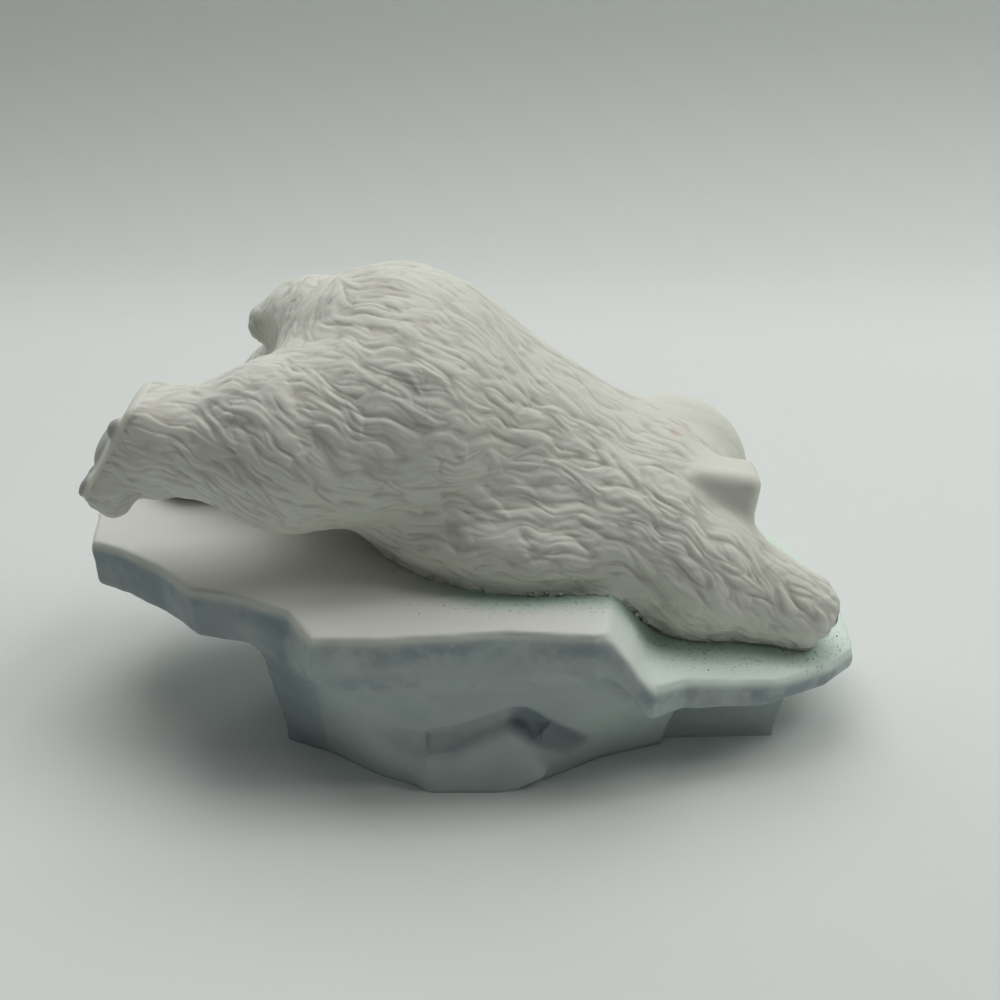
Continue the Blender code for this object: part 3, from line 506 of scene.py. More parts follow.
def outline_distance(points, low, high):
    """Signed distance in plan to an outline that changes from low, at Z = 0, to high."""
    low, high = np.array(low), np.array(high)
    share = unit(points[:, 2] / FOOT_HEIGHT)[:, None]
    plan = points[:, :2]
    nearest = np.full(len(points), 1.0)
    inside = np.ones(len(points))
    for index in range(len(low)):
        a = low[index] + (high[index] - low[index]) * share
        b = low[index - 1] + (high[index - 1] - low[index - 1]) * share
        edge, offset = b - a, plan - a
        along = unit((offset * edge).sum(1) / (edge * edge).sum(1))[:, None]
        gap = offset - along * edge
        nearest = np.minimum(nearest, (gap * gap).sum(1))
        left = edge[:, 0] * offset[:, 1] > edge[:, 1] * offset[:, 0]
        rises = (plan[:, 1] >= a[:, 1]) & (plan[:, 1] < b[:, 1]) & left
        falls = (plan[:, 1] < a[:, 1]) & (plan[:, 1] >= b[:, 1]) & ~left
        inside = np.where(rises | falls, -inside, inside)
    return inside * np.sqrt(nearest)


def ice_form(points):
    """Distance to the ice floe: the sheet, the foot under it, the clefts and the vent."""
    x, y, z = points.T
    top = ice_top(x, y)
    sides = outline_distance(points, PLATE_OUTLINE, PLATE_OUTLINE) + SIDE_LEAN * (top - z)
    plate = cut(sides, 0.9 * (z - top), EDGE_ROUND)
    plate = cut(plate, 0.9 * (top - plate_thickness(x) - z), 1.4 * EDGE_ROUND)
    foot_top, heel_top = top - FOOT_SEAT * PLATE_THICKNESS, top - HEEL_SEAT * PLATE_THICKNESS
    foot = cut(outline_distance(points, FOOT_LOW, FOOT_HIGH), z - foot_top, EDGE_ROUND)
    heel = cut(outline_distance(points, HEEL_LOW, HEEL_HIGH), z - heel_top, EDGE_ROUND)
    body = blend(blend(plate, foot, EDGE_ROUND), heel, 0.7 * EDGE_ROUND)
    for run in CLEFTS:
        body = cut(body, -union_of(cleft_masses(run), points), 0.8 * GROOVE_RADIUS)
    lobe = Slab(LOBE_AT, LOBE, LOBE_EDGE, LOBE_LEAN).distance(points)
    body = blend(body, lobe, EDGE_ROUND)
    across = np.hypot(x - VENT_PLACE[0], y - VENT_PLACE[1]) - 0.5 * VENT_DIAMETER
    body = cut(body, -cut(across, z - VENT_DEPTH, 0.001), 0.0006)
    return cut(body, -z - UNDER_TABLE, 0.0006)


def cleft_masses(run):
    """The round cutters along one cleft."""
    return [
        (Limb(start[:3], end[:3], GROOVE_RADIUS * start[3], GROOVE_RADIUS * end[3]), GROOVE_RADIUS)
        for start, end in zip(run, run[1:])
    ]


def points_of(mesh):
    """Where the vertices are, one row each."""
    points = np.empty(len(mesh.vertices) * 3)
    mesh.vertices.foreach_get("co", points)
    return points.reshape(-1, 3)


def normals_of(mesh):
    """Which way the vertices face, one row each."""
    normals = np.empty(len(mesh.vertices) * 3)
    mesh.vertex_normals.foreach_get("vector", normals)
    return normals.reshape(-1, 3)


def move_points(mesh, points):
    """Put the vertices at new places."""
    mesh.vertices.foreach_set("co", points.ravel())
    mesh.update()


def slope_of(field, points):
    """A field's level and slope at each point, from four samples round it."""
    corners = np.array([(1, 1, 1), (1, -1, -1), (-1, 1, -1), (-1, -1, 1)], dtype=float)
    samples = [field(points + SLOPE_REACH * corner) for corner in corners]
    slope = sum(value[:, None] * corner for value, corner in zip(samples, corners))
    return sum(samples) / len(corners), slope / (len(corners) * SLOPE_REACH)


def drawn_in(points, field, rounds, longest):
    """The points, slid onto the surface where the field is zero."""
    for _ in range(rounds):
        level, slope = slope_of(field, points)
        steep = np.maximum((slope * slope).sum(1), 0.15)
        step = -(level / steep)[:, None] * slope
        length = np.linalg.norm(step, axis=1, keepdims=True) + 1e-12
        points = points + step * np.minimum(1.0, longest / length)
    return points


def settle(mesh, field, rounds):
    """Slide a mesh onto the surface where the field is zero."""
    move_points(mesh, drawn_in(points_of(mesh), field, rounds, 1.5 * VOXEL))


def in_edit_mode(thing, *steps):
    """Run edit-mode steps on everything in one object."""
    deselect()
    thing.select_set(True)
    bpy.context.view_layer.objects.active = thing
    bpy.ops.object.mode_set(mode="EDIT")
    bpy.ops.mesh.select_all(action="SELECT")
    for step in steps:
        step()
    bpy.ops.object.mode_set(mode="OBJECT")


def apply_modifier(thing, kind, **settings):
    """Add one modifier to one object and apply it."""
    deselect()
    thing.select_set(True)
    bpy.context.view_layer.objects.active = thing
    modifier = thing.modifiers.new(kind.lower(), kind)
    for name, value in settings.items():
        setattr(modifier, name, value)
    bpy.ops.object.modifier_apply(modifier=modifier.name)


def joined(pieces, name):
    """Rough primitives joined into one object whose place is in its mesh."""
    deselect()
    for piece in pieces:
        piece.select_set(True)
    bpy.context.view_layer.objects.active = pieces[0]
    bpy.ops.object.join()
    whole = bpy.context.object
    bpy.ops.object.transform_apply(location=True, rotation=True, scale=True)
    whole.name = name
    whole.data.name = name
    return whole


def skin_of(rough, field, subdivisions):
    """One even skin over rough primitives, settled on the blended form."""
    apply_modifier(rough, "REMESH", mode="VOXEL", voxel_size=VOXEL, adaptivity=0.0)
    settle(rough.data, field, 6)
    in_edit_mode(rough, lambda: bpy.ops.mesh.vertices_smooth(factor=0.5, repeat=2))
    settle(rough.data, field, 2)
    for _ in range(subdivisions):
        in_edit_mode(rough, lambda: bpy.ops.mesh.subdivide(number_cuts=1, smoothness=0.0))
    in_edit_mode(rough, lambda: bpy.ops.mesh.vertices_smooth(factor=0.5, repeat=1))
    settle(rough.data, field, 2)
    return rough


def thin_to(thing, triangles):
    """Collapse the smallest faces until no more than this many triangles are left."""
    now = sum(len(face.vertices) - 2 for face in thing.data.polygons)
    if now > triangles:
        apply_modifier(thing, "DECIMATE", ratio=triangles / now, use_collapse_triangulate=True)


def combed(points, normals, wave=COMB_WAVE):
    """The way the fur lies at each point, along the surface."""
    total = np.zeros_like(points)
    for place, way in COMBING:
        gap = points - np.array(lift(place))
        weight = np.exp(-(gap * gap).sum(1) / COMB_REACH ** 2) + 1e-9
        total += weight[:, None] * np.array(way)
    total -= (total * normals).sum(1)[:, None] * normals
    total /= np.linalg.norm(total, axis=1, keepdims=True) + 1e-12
    turn = 2.0 * math.pi / COMB_WAVELENGTH
    x, y, z = points.T
    angle = wave * np.sin(turn * x + 1.7 * np.sin(0.61 * turn * z) + 1.3 * np.sin(0.53 * turn * y))
    side = np.cross(normals, total)
    return total * np.cos(angle)[:, None] + side * np.sin(angle)[:, None]


def fur_share(points):
    """How deeply the fur is carved: not on sole, pads or nose, lightly on muzzle and tail."""
    above = points[:, 2] - ice_top(points[:, 0], points[:, 1])
    share = unit(above / 0.0015 + 0.6)
    sole = (points - np.array(lift(PAW_AT))) @ np.array(Matrix.Rotation(math.radians(PAW_TURN), 3, "Y"))
    on_sole = (sole[:, 0] < -0.72 * PAW[0]) & (np.linalg.norm(sole, axis=1) < 1.7 * PAW[2])
    share = np.where(on_sole, 0.0, share)
    from_nose = np.linalg.norm(points - np.array(lift(NOSE_AT)), axis=1)
    share *= np.clip((from_nose - MUZZLE_RADIUS) / (2.0 * MUZZLE_RADIUS), 0.12, 1.0)
    dome = Ball(lift(FAR_HAUNCH_AT), FAR_HAUNCH, HAUNCH_LEAN).distance(points)
    share *= np.clip(0.25 + (dome - 0.001) / 0.004, 0.25, 1.0)
    return share * np.clip(0.15 + tail_slab().distance(points) / 0.004, 0.15, 1.0)


def grown_locks(random):
    """Where the main locks grow: their roots, spread over the bear, and the outward way there."""
    ends = (PAW_AT, HIND_PAW_AT, WITHERS_AT, NOSE_AT, FAR_PAW_AT, FAR_FOOT_AT)
    ends = np.array([lift(place) for place in ends])
    tries = random.uniform(ends.min(axis=0) - CHEST[0], ends.max(axis=0) + CHEST[0], (LOCK_TRIES, 3))
    roots = drawn_in(tries, bear_form, 10, LONGEST_SLIDE)
    level, slope = slope_of(bear_form, roots)
    normals = slope / np.linalg.norm(slope, axis=1, keepdims=True)
    height = roots[:, 2] - ice_top(roots[:, 0], roots[:, 1])
    good = (np.abs(level) < SLOPE_REACH) & (height > LOCK_CLEAR)
    roots, normals = roots[good], normals[good]
    cells = np.floor(roots / LOCK_SPACING).astype(np.int64)
    keys = (cells - cells.min(axis=0)) @ np.array([1, 1000, 1000000])
    first = np.sort(np.unique(keys, return_index=True)[1])
    return roots[first], normals[first]


def lay_locks(points, normals):
    """The main locks, pointed and overlapping: how high they raise each vertex, from 0 to 1."""
    tree = kdtree.KDTree(len(points))
    for index, point in enumerate(points):
        tree.insert(point, index)
    tree.balance()
    random = np.random.default_rng(LOCK_SEED)
    roots, outward = grown_locks(random)
    raised = np.zeros(len(points))
    for root, up, way in zip(roots, outward, combed(roots, outward)):
        length = LOCK_LENGTH * random.uniform(0.75, 1.25)
        width = LOCK_WIDTH * random.uniform(0.75, 1.25)
        bend, peak = random.uniform(-0.8, 0.8), random.uniform(0.7, 1.0)
        near = tree.find_range(root + 0.5 * length * way, 0.55 * length)
        if not near:
            continue
        found = np.fromiter((item[1] for item in near), dtype=int, count=len(near))
        offset = points[found] - root
        along = unit(offset @ way / length)
        side = offset @ np.cross(up, way) / width + 4.0 * bend * along * (1.0 - along)
        taper = np.sqrt((1.0 - along) * unit(5.0 * along)) + 1e-6
        ridge = unit(1.0 - (2.0 * side / taper) ** 2) ** 0.7
        rise = along ** 0.7 * unit(6.0 * (1.0 - along))
        height = peak * ridge * (0.35 + 0.65 * rise)
        raised[found] = np.maximum(raised[found], np.where(normals[found] @ up > 0.3, height, 0.0))
    return raised


def grain_of(points, cell, seed):
    """Smooth random values through space, from -1 to 1, that change over about one cell."""
    table = np.random.default_rng(seed).uniform(-1.0, 1.0, 4096)
    place = points / cell + 500.0
    low = np.floor(place).astype(np.int64)
    part = place - low
    part = part * part * (3.0 - 2.0 * part)
    total = 0.0
    for corner in np.ndindex(2, 2, 2):
        key = (low + corner) @ np.array([73856093, 19349663, 83492791])
        share = np.prod(np.where(corner, part, 1.0 - part), axis=1)
        total = total + share * table[(key ^ (key >> 13)) % 4096]
    return total


def flowing(points, normals):
    """The combing with the small waves of the strands."""
    ways = combed(points, normals, STRAND_WAVE)
    turn = 2.0 * math.pi / WAVE_LENGTH
    x, y, z = points.T
    angle = WAVE_TURN * np.sin(turn * x + 2.1 * np.sin(0.7 * turn * z + 1.0) + 1.3 * np.sin(0.6 * turn * y))
    return ways * np.cos(angle)[:, None] + np.cross(normals, ways) * np.sin(angle)[:, None]


def strands_of(points, normals, width, reach, seed):
    """Rounded strands with sharp grooves between them, drawn out along the flow, from 0 to 1."""
    steps = 6
    total = grain_of(points, width, seed)
    for sign in (-1.0, 1.0):
        place = points
        for step in range(1, steps + 1):
            place = place + sign * reach / steps * flowing(place, normals)
            total = total + grain_of(place, width, seed) * (1.0 - step / (steps + 1.5))
    return unit(np.abs(total) / (1.6 * total.std())) ** 0.8


def carve_fur(mesh):
    """Carve the main locks, then the tufts and strands in them, shallower where fur lies uppermost."""
    points, normals = points_of(mesh), normals_of(mesh)
    share = fur_share(points)
    main = lay_locks(points, normals)
    tufts = strands_of(points, normals, TUFT_WIDTH, TUFT_REACH, TUFT_SEED)
    strands = strands_of(points, normals, STRAND_WIDTH, STRAND_REACH, STRAND_SEED)
    from_paw = np.linalg.norm(points - np.array(lift(PAW_AT)), axis=1)
    broad = np.clip(0.35 + (from_paw - PAW[2]) / 0.010, 0.35, 1.0)
    relief = broad * (LOCK_SOFTNESS * LOCK_RELIEF * (main - 0.5) + TUFT_RELIEF * (tufts - 0.6))
    worn = 1.0 - 0.40 * unit((normals[:, 2] - 0.45) / 0.40)
    relief = (relief + STRAND_RELIEF * (strands - 0.6)) * worn - SKIN_DEPTH
    move_points(mesh, points + (relief * share)[:, None] * normals)
    return main, tufts, strands, share


def store(mesh, name, values):
    """Keep one number a vertex for the materials."""
    mesh.attributes.new(name, "FLOAT", "POINT").data.foreach_set("value", values.astype(np.float32))


def part_of(whole, name, chosen):
    """The chosen faces of the whole bear as a closed piece, shaded as the whole was shaded."""
    thing = whole.copy()
    thing.data = whole.data.copy()
    thing.name = name
    thing.data.name = name
    bpy.context.scene.collection.objects.link(thing)
    mesh = thing.data
    deselect()
    thing.select_set(True)
    bpy.context.view_layer.objects.active = thing
    bpy.ops.object.mode_set(mode="EDIT")
    bpy.ops.mesh.select_mode(type="FACE")
    bpy.ops.mesh.select_all(action="DESELECT")
    bpy.ops.object.mode_set(mode="OBJECT")
    mesh.polygons.foreach_set("select", ~chosen)
    bpy.ops.object.mode_set(mode="EDIT")
    bpy.ops.mesh.delete(type="FACE")
    bpy.ops.mesh.select_mode(type="EDGE")
    bpy.ops.mesh.select_all(action="DESELECT")
    bpy.ops.mesh.select_non_manifold()
    bpy.ops.mesh.extrude_edges_move()
    bpy.ops.transform.resize(value=(1.0, 0.94, 0.94), center_override=SEAM_CENTRE)
    bpy.ops.mesh.edge_face_add()
    bpy.ops.object.mode_set(mode="OBJECT")
    mesh.shade_smooth()
    normals = np.empty(len(mesh.vertices) * 3, dtype=np.float32)
    mesh.attributes["whole_normal"].data.foreach_get("vector", normals)
    mesh.normals_split_custom_set_from_vertices(normals.reshape(-1, 3))
    mesh.attributes.remove(mesh.attributes["whole_normal"])
    return thing


def build_bear():
    """The carved bear, in two stretches that meet without a seam."""
    rough = [piece for mass, _ in bear_masses() for piece in mass.add_rough()]
    whole = skin_of(joined(rough, "carved_bear"), bear, DETAIL)
    main, tufts, strands, share = carve_fur(whole.data)
    store(whole.data, "lock", main)
    store(whole.data, "tuft", tufts)
    store(whole.data, "strand", strands)
    store(whole.data, "fur", share)
    store(whole.data, "pad", pad_paint(points_of(whole.data)))
    store(whole.data, "dark", dark_paint(points_of(whole.data)))
    store(whole.data, "stain", stain_paint(points_of(whole.data)))
    thin_to(whole, BEAR_TRIANGLES)
    mesh = whole.data
    mesh.shade_smooth()
    keeper = mesh.attributes.new("whole_normal", "FLOAT_VECTOR", "POINT")
    keeper.data.foreach_set("vector", normals_of(mesh).ravel().astype(np.float32))
    centres = np.empty(len(mesh.polygons) * 3)
    mesh.polygons.foreach_get("center", centres)
    front = centres[0::3] < np.median(centres[0::3])
    halves = [part_of(whole, "bear_forequarters", front), part_of(whole, "bear_hindquarters", ~front)]
    bpy.data.objects.remove(whole)
    return halves


def pad_paint(points):
    """How far each point is inside the painted pads."""
    pads = np.min([pad.distance(points) for pad, _ in raised_sole()], axis=0)
    end = lift(HIND_PAW_AT) + Vector((FOOT_RADIUS, 0.0, -0.15 * FOOT_RADIUS))
    heel = Ball(end, (0.0016, 0.0042, 0.0030)).distance(points)
    return unit(0.5 - np.minimum(pads, heel) / 0.0008)


def dark_paint(points):
    """Eyes, nose and the line of the mouth."""
    eyes = [Ball(place, (EYE_RADIUS,) * 3).distance(points) for place in eye_places()]
    spots = np.minimum(np.min(eyes, axis=0), nose_ball().distance(points))
    mouth = [Limb(*run, radius, radius).distance(points) for *run, radius in fine_cuts()[:5]]
    spots = np.minimum(spots, np.min(mouth, axis=0) + 0.00032)
    return unit(0.5 - (spots - 0.0003) / 0.0006)


def stain_paint(points):
    """A small rusty firing stain over the tail."""
    stain = np.linalg.norm(points - np.array(STAIN_AT), axis=1) - 0.0012
    return unit(0.5 - stain / 0.0016)


def raise_outline(outline, bottom, top, breaks=()):
    """An outline in plan, raised between two heights that may change across it."""
    mesh = bpy.data.meshes.new("outline")
    mesh.from_pydata([(x, y, 0.0) for x, y in outline], [], [list(range(len(outline)))])
    thing = bpy.data.objects.new("outline", mesh)
    bpy.context.scene.collection.objects.link(thing)

    def split_at(x):
        bpy.ops.mesh.bisect(plane_co=(x, 0.0, 0.0), plane_no=(1.0, 0.0, 0.0))

    def split_all():
        for x in breaks:
            bpy.ops.mesh.select_all(action="SELECT")
            split_at(x)
        bpy.ops.mesh.select_all(action="SELECT")
        bpy.ops.mesh.extrude_region_move(TRANSFORM_OT_translate={"value": (0.0, 0.0, 1.0)})

    in_edit_mode(thing, split_all)
    for vert in mesh.vertices:
        height = top if vert.co.z > 0.5 else bottom
        vert.co.z = height(vert.co.x, vert.co.y)
    in_edit_mode(thing, lambda: bpy.ops.mesh.normals_make_consistent(inside=False))
    return thing


def halfway(low, high):
    """The outline midway between two outlines."""
    return [((a[0] + b[0]) / 2.0, (a[1] + b[1]) / 2.0) for a, b in zip(low, high)]


def build_ice():
    """The ice floe, ground flat where it stands."""
    breaks = (RAMP_START, RAMP_START + RAMP_RUN)

    def sheet_bottom(x, y):
        return ice_top(x, y) - plate_thickness(x)

    def under_sheet(x, y):
        return ice_top(x, y) - FOOT_SEAT * PLATE_THICKNESS

    def below_table(x, y):
        return -UNDER_TABLE

    rough = [
        raise_outline(PLATE_OUTLINE, sheet_bottom, ice_top, breaks),
        raise_outline(halfway(FOOT_LOW, FOOT_HIGH), below_table, under_sheet, breaks),
        raise_outline(halfway(HEEL_LOW, HEEL_HIGH), below_table, under_sheet),
    ]
    thing = skin_of(joined(rough, "ice_floe"), ice_form, 1)

    def grind():
        bpy.ops.mesh.bisect(
            plane_co=(0.0, 0.0, 0.0), plane_no=(0.0, 0.0, 1.0), use_fill=True, clear_inner=True,
        )

    in_edit_mode(thing, grind)
    wear_ice(thing.data)
    paint_ice(thing.data)
    thin_to(thing, ICE_TRIANGLES)
    flat = points_of(thing.data)
    flat[:, 2] = np.maximum(flat[:, 2], 0.0)
    move_points(thing.data, flat)
    return thing


def wear_ice(mesh):
    """The slight unevenness of the cast ice: strata down its sides, faint on top, never outwards."""
    points, normals = points_of(mesh), normals_of(mesh)
    layered = points * np.array((1.0, 1.0, 1.8))
    waves = grain_of(layered, STRATUM, ICE_SEED) + 0.45 * grain_of(layered, 0.35 * STRATUM, ICE_SEED + 1)
    share = np.clip((0.9 - normals[:, 2]) / 0.3, 0.15, 1.0) * unit(points[:, 2] / 0.002)
    move_points(mesh, points + (ICE_RELIEF * (waves - 1.45) * share)[:, None] * normals)


def paint_ice(mesh):
    """Keep at each vertex where the colours of the ice go."""
    points, normals = points_of(mesh), normals_of(mesh)
    x, y, z = points.T
    rim = -outline_distance(points, PLATE_OUTLINE, PLATE_OUTLINE)
    below = ice_top(x, y) - z
    lip = np.minimum(np.abs(below - 0.004), np.abs(below - 0.012))
    clefts = [union_of(cleft_masses(run), points) for run in CLEFTS]
    store(mesh, "from_bear", bear_form(points))
    on_top = unit((below - 0.0010) / 0.0015)
    steep = unit((0.86 - normals[:, 2]) / 0.25) * on_top
    store(mesh, "side", np.maximum(steep, unit((below - 0.004) / 0.002)))
    store(mesh, "low_end", unit((x - 0.015) / 0.035))
    store(mesh, "green_run", unit((x + 0.012) / 0.014) * unit((0.012 - y) / 0.010))
    # Bands just under the top's edge and along the sheet's underside, near the rim, that are painted darker
    store(mesh, "edge", unit(1.0 - lip / 0.005) * unit(1.0 - rim / 0.010))
    # Where a pale highlight is painted: a band just under the top's edge
    store(mesh, "painted_rim_highlight", unit(1.0 - np.abs(below - 0.0012) / 0.0012))
    # Where shade is painted: the clefts, the crevice and the recesses
    store(mesh, "cleft", unit(0.7 - np.min(clefts, axis=0) / 0.0030))
    store(mesh, "crevice", unit(0.9 - clefts[2] / 0.0022))
    store(mesh, "recess", unit(0.9 - np.minimum(clefts[1], clefts[3]) / 0.0030))
    facet = unit((-0.0300 - x) / 0.0012) * unit((0.0280 - z) / 0.0020)
    heel = unit((x - 0.0430) / 0.0020) * unit((0.0120 - z) / 0.0020)
    store(mesh, "facet", (facet + 0.5 * heel) * unit(-y / 0.010))
    store(mesh, "left_end", unit((-0.024 - x) / 0.014) * unit((0.006 - y) / 0.012))


class Value:
    """A socket of a material that takes part in Python arithmetic."""

    def __init__(self, tree, socket):
        self.tree, self.socket = tree, socket

    def math(self, operation, *others):
        node = self.tree.nodes.new("ShaderNodeMath")
        node.operation = operation
        for slot, value in zip(node.inputs, (self, *others)):
            plug(self.tree, slot, value)
        return Value(self.tree, node.outputs[0])

    def __add__(self, other):
        return self.math("ADD", other)

    __radd__ = __add__

    def __sub__(self, other):
        return self.math("SUBTRACT", other)

    def __rsub__(self, other):
        return (self * -1.0) + other

    def __mul__(self, other):
        return self.math("MULTIPLY", other)

    __rmul__ = __mul__

    def __truediv__(self, other):
        return self.math("DIVIDE", other)

    def __pow__(self, other):
        return self.math("POWER", other)

    def between(self, low, high):
        """0 up to low, 1 from high on, and a smooth way between."""
        node = self.tree.nodes.new("ShaderNodeMapRange")
        node.interpolation_type = "SMOOTHSTEP"
        plug(self.tree, node.inputs["Value"], self)
        node.inputs["From Min"].default_value = low
        node.inputs["From Max"].default_value = high
        return Value(self.tree, node.outputs["Result"])


def plug(tree, slot, value):
    """Link a value to a socket, or write a number or colour on it."""
    if isinstance(value, Value):
        tree.links.new(value.socket, slot)
    else:
        slot.default_value = value


class Finish:
    """A material with its Principled shader, and one way to add any other node."""

    def __init__(self, name, roughness):
        self.material = bpy.data.materials.new(name)
        self.material.use_nodes = True
        self.tree = self.material.node_tree
        self.shader = self.tree.nodes["Principled BSDF"]
        self.shader.inputs["Roughness"].default_value = roughness

    def node(self, kind, settings=(), output=0, **inputs):
        node = self.tree.nodes.new("ShaderNode" + kind)
        for name, value in dict(settings).items():
            setattr(node, name, value)
        for name, value in inputs.items():
            plug(self.tree, node.inputs[name.replace("_", " ")], value)
        return Value(self.tree, node.outputs[output])

    def place(self):
        return self.node("TexCoord", output="Object")

    def kept(self, name):
        """A number that the mesh keeps at each vertex."""
        return self.node("Attribute", {"attribute_name": name}, output="Fac")

    def noise(self, scale, detail=3.0, roughness=0.5, distortion=0.0):
        return self.node(
            "TexNoise", output="Fac", Vector=self.place(), Scale=scale, Detail=detail,
            Roughness=roughness, Distortion=distortion,
        )

    def mix(self, share, first, second):
        """A colour between two colours, or links to them."""
        node = self.tree.nodes.new("ShaderNodeMix")
        node.data_type = "RGBA"
        plug(self.tree, node.inputs["Factor"], share)
        for slot, colour in ((node.inputs[6], first), (node.inputs[7], second)):
            plug(self.tree, slot, colour if isinstance(colour, Value) else (*colour, 1.0))
        return Value(self.tree, node.outputs[2])

    def set(self, **inputs):
        for name, value in inputs.items():
            plug(self.tree, self.shader.inputs[name.replace("_", " ")], value)

    def bump(self, height, distance, strength=1.0):
        bump = self.node("Bump", Height=height, Distance=distance, Strength=strength)
        plug(self.tree, self.shader.inputs["Normal"], bump)


CREAM = (0.66, 0.665, 0.59)
WARM_CREAM = (0.65, 0.635, 0.56)
# Warm grey painted into the carving's grooves as shade
GROOVE_SHADE_PAINT = (0.46, 0.44, 0.39)
PAD_GREY = (0.20, 0.21, 0.23)
EYE_DARK = (0.045, 0.045, 0.05)
RUST = (0.48, 0.27, 0.13)


def bear_finish():
    """Unglazed warm white bisque with shade painted down in the carving, and grey painted pads."""
    finish = Finish("bisque_bear", 0.62)
    depth = finish.kept("strand") * 0.5 + finish.kept("tuft") * 0.35 + finish.kept("lock") * 0.15
    # Painted shade: the grooves between strands, tufts and locks are darkened toward warm grey
    painted_groove_shade = (1.0 - depth.between(0.10, 0.62)) * finish.kept("fur")
    mottle = finish.noise(90.0, 4.0).between(0.35, 0.75)
    body = finish.mix(mottle * 0.35, CREAM, WARM_CREAM)
    body = finish.mix(painted_groove_shade * 0.75, body, GROOVE_SHADE_PAINT)
    body = finish.mix(finish.kept("stain") * 0.7, body, RUST)
    body = finish.mix(finish.kept("pad").between(0.2, 0.8), body, PAD_GREY)
    body = finish.mix(finish.kept("dark").between(0.3, 0.7), body, EYE_DARK)
    finish.set(Base_Color=body)
    finish.set(Roughness=finish.noise(260.0) * 0.10 + 0.57)
    grain = finish.noise(2600.0, 2.0)
    finish.bump(grain, 0.00006, 0.5)
    return finish.material


SNOW = (0.63, 0.64, 0.59)
MINT = (0.66, 0.76, 0.68)
MINT_SHADE = (0.50, 0.59, 0.54)
WALL_SHADE = (0.36, 0.425, 0.415)
SEA_GREEN = (0.30, 0.44, 0.37)
ICE_SIDE = (0.44, 0.49, 0.475)
SLATE = (0.20, 0.25, 0.28)
PAINTED_CREVICE_SHADOW = (0.09, 0.12, 0.15)
DARK_GREEN = (0.12, 0.19, 0.16)
PAINTED_RECESS_SHADE = (0.30, 0.41, 0.36)


def ice_finish():
    """Bisque ice: white on top, mint to the low end, grey green sides with slate patches and darker bands
    under the rim, painted shade in the clefts, recesses and crevice, and a painted highlight along the rim.
    """
    finish = Finish("bisque_ice", 0.60)
    side = finish.kept("side")
    low_end = finish.kept("low_end")
    wander = finish.noise(70.0, 4.0)
    top = finish.mix((low_end + wander * 0.4 - 0.2).between(0.1, 0.9), SNOW, MINT)
    near = (1.6 - finish.kept("from_bear") / 0.0045) + (wander - 0.5) * 0.9
    run = finish.kept("green_run")
    thin = 1.0 - low_end * 0.45
    top = finish.mix(near.between(-0.2, 1.2) * run * thin * 0.9, top, SEA_GREEN)
    grit = finish.noise(1300.0, 2.0).between(0.60, 0.67) * near.between(-1.2, 0.9) * run
    top = finish.mix(grit * 0.55, top, DARK_GREEN)
    wash = finish.noise(45.0, 5.0, 0.6).between(0.3, 0.75)
    wall = finish.mix(wash * 0.75, ICE_SIDE, WALL_SHADE)
    glow = finish.noise(38.0, 3.0, 0.5).between(0.50, 0.75) * 0.55
    wall = finish.mix(glow, wall, MINT_SHADE)
    low_wash = finish.noise(60.0, 4.0, 0.6).between(0.25, 0.7)
    wall = finish.mix(finish.kept("left_end") * (low_wash * 0.5 + 0.3), wall, SLATE)
    # Slate painted in patches along those bands under the rim
    rim_band_darkening = finish.noise(95.0, 5.0, 0.65, 0.4).between(0.42, 0.64) * finish.kept("edge") * 0.8
    wall = finish.mix(rim_band_darkening, wall, SLATE)
    soft = finish.noise(150.0, 4.0, 0.6).between(0.2, 0.8) * 0.45 + 0.22
    # Painted shade: slate, softened by noise, down in the clefts
    wall = finish.mix(finish.kept("cleft") * soft, wall, SLATE)
    # Painted shade: green in the recesses
    wall = finish.mix(finish.kept("recess") * 0.7, wall, PAINTED_RECESS_SHADE)
    wall = finish.mix(finish.kept("facet") * (soft + 0.1), wall, SLATE)
    # Painted shadow: near black down in the crevice
    wall = finish.mix(finish.kept("crevice") * 0.8, wall, PAINTED_CREVICE_SHADOW)
    colour = finish.mix(side, top, wall)
    # Painted highlight: a pale band of the top's colour along the sides just under the rim
    pale = finish.kept("painted_rim_highlight") * side * finish.noise(60.0).between(0.3, 0.6) * 0.45
    finish.set(Base_Color=finish.mix(pale, colour, SNOW))
    finish.set(Roughness=finish.noise(300.0) * 0.10 + 0.55)
    finish.bump(finish.noise(2600.0, 2.0), 0.00005, 0.5)
    return finish.material


MILKY = (0.62, 0.66, 0.62)
GREEN_TINGE = (0.34, 0.42, 0.37)


def build_grains():
    """Mineral grains strewn on the ice along the bear: tiny stones, each turned its own way."""
    random = np.random.default_rng(GRAIN_SEED)
    plan = random.uniform((-0.030, -0.042), (0.085, 0.035), (6000, 2))
    places = np.column_stack([plan, ice_top(plan[:, 0], plan[:, 1])])
    gap = bear_form(places)
    inside = outline_distance(places, PLATE_OUTLINE, PLATE_OUTLINE) < -0.003
    chance = np.exp(-gap / GRAIN_SPREAD) * np.clip((places[:, 0] + 0.030) / 0.040, 0.15, 1.0)
    places = places[(gap > 0.0) & inside & (random.uniform(size=len(gap)) < chance)][:GRAINS]
    stones = []
    for place in places:
        turn = random.uniform(0.0, math.pi, 3)
        size = random.uniform(0.00014, 0.00030)
        bpy.ops.mesh.primitive_ico_sphere_add(
            subdivisions=1, radius=size, location=place, rotation=turn, scale=(1.3, 1.0, 0.8),
        )
        stones.append(bpy.context.object)
    return joined(stones, "mineral_grains")


def grain_finish():
    """Clear and milky grains with a little green on them."""
    finish = Finish("mineral_grain", 0.35)
    tint = finish.noise(400.0, 1.0).between(0.35, 0.65)
    finish.set(Base_Color=finish.mix(tint, MILKY, GREEN_TINGE))
    return finish.material


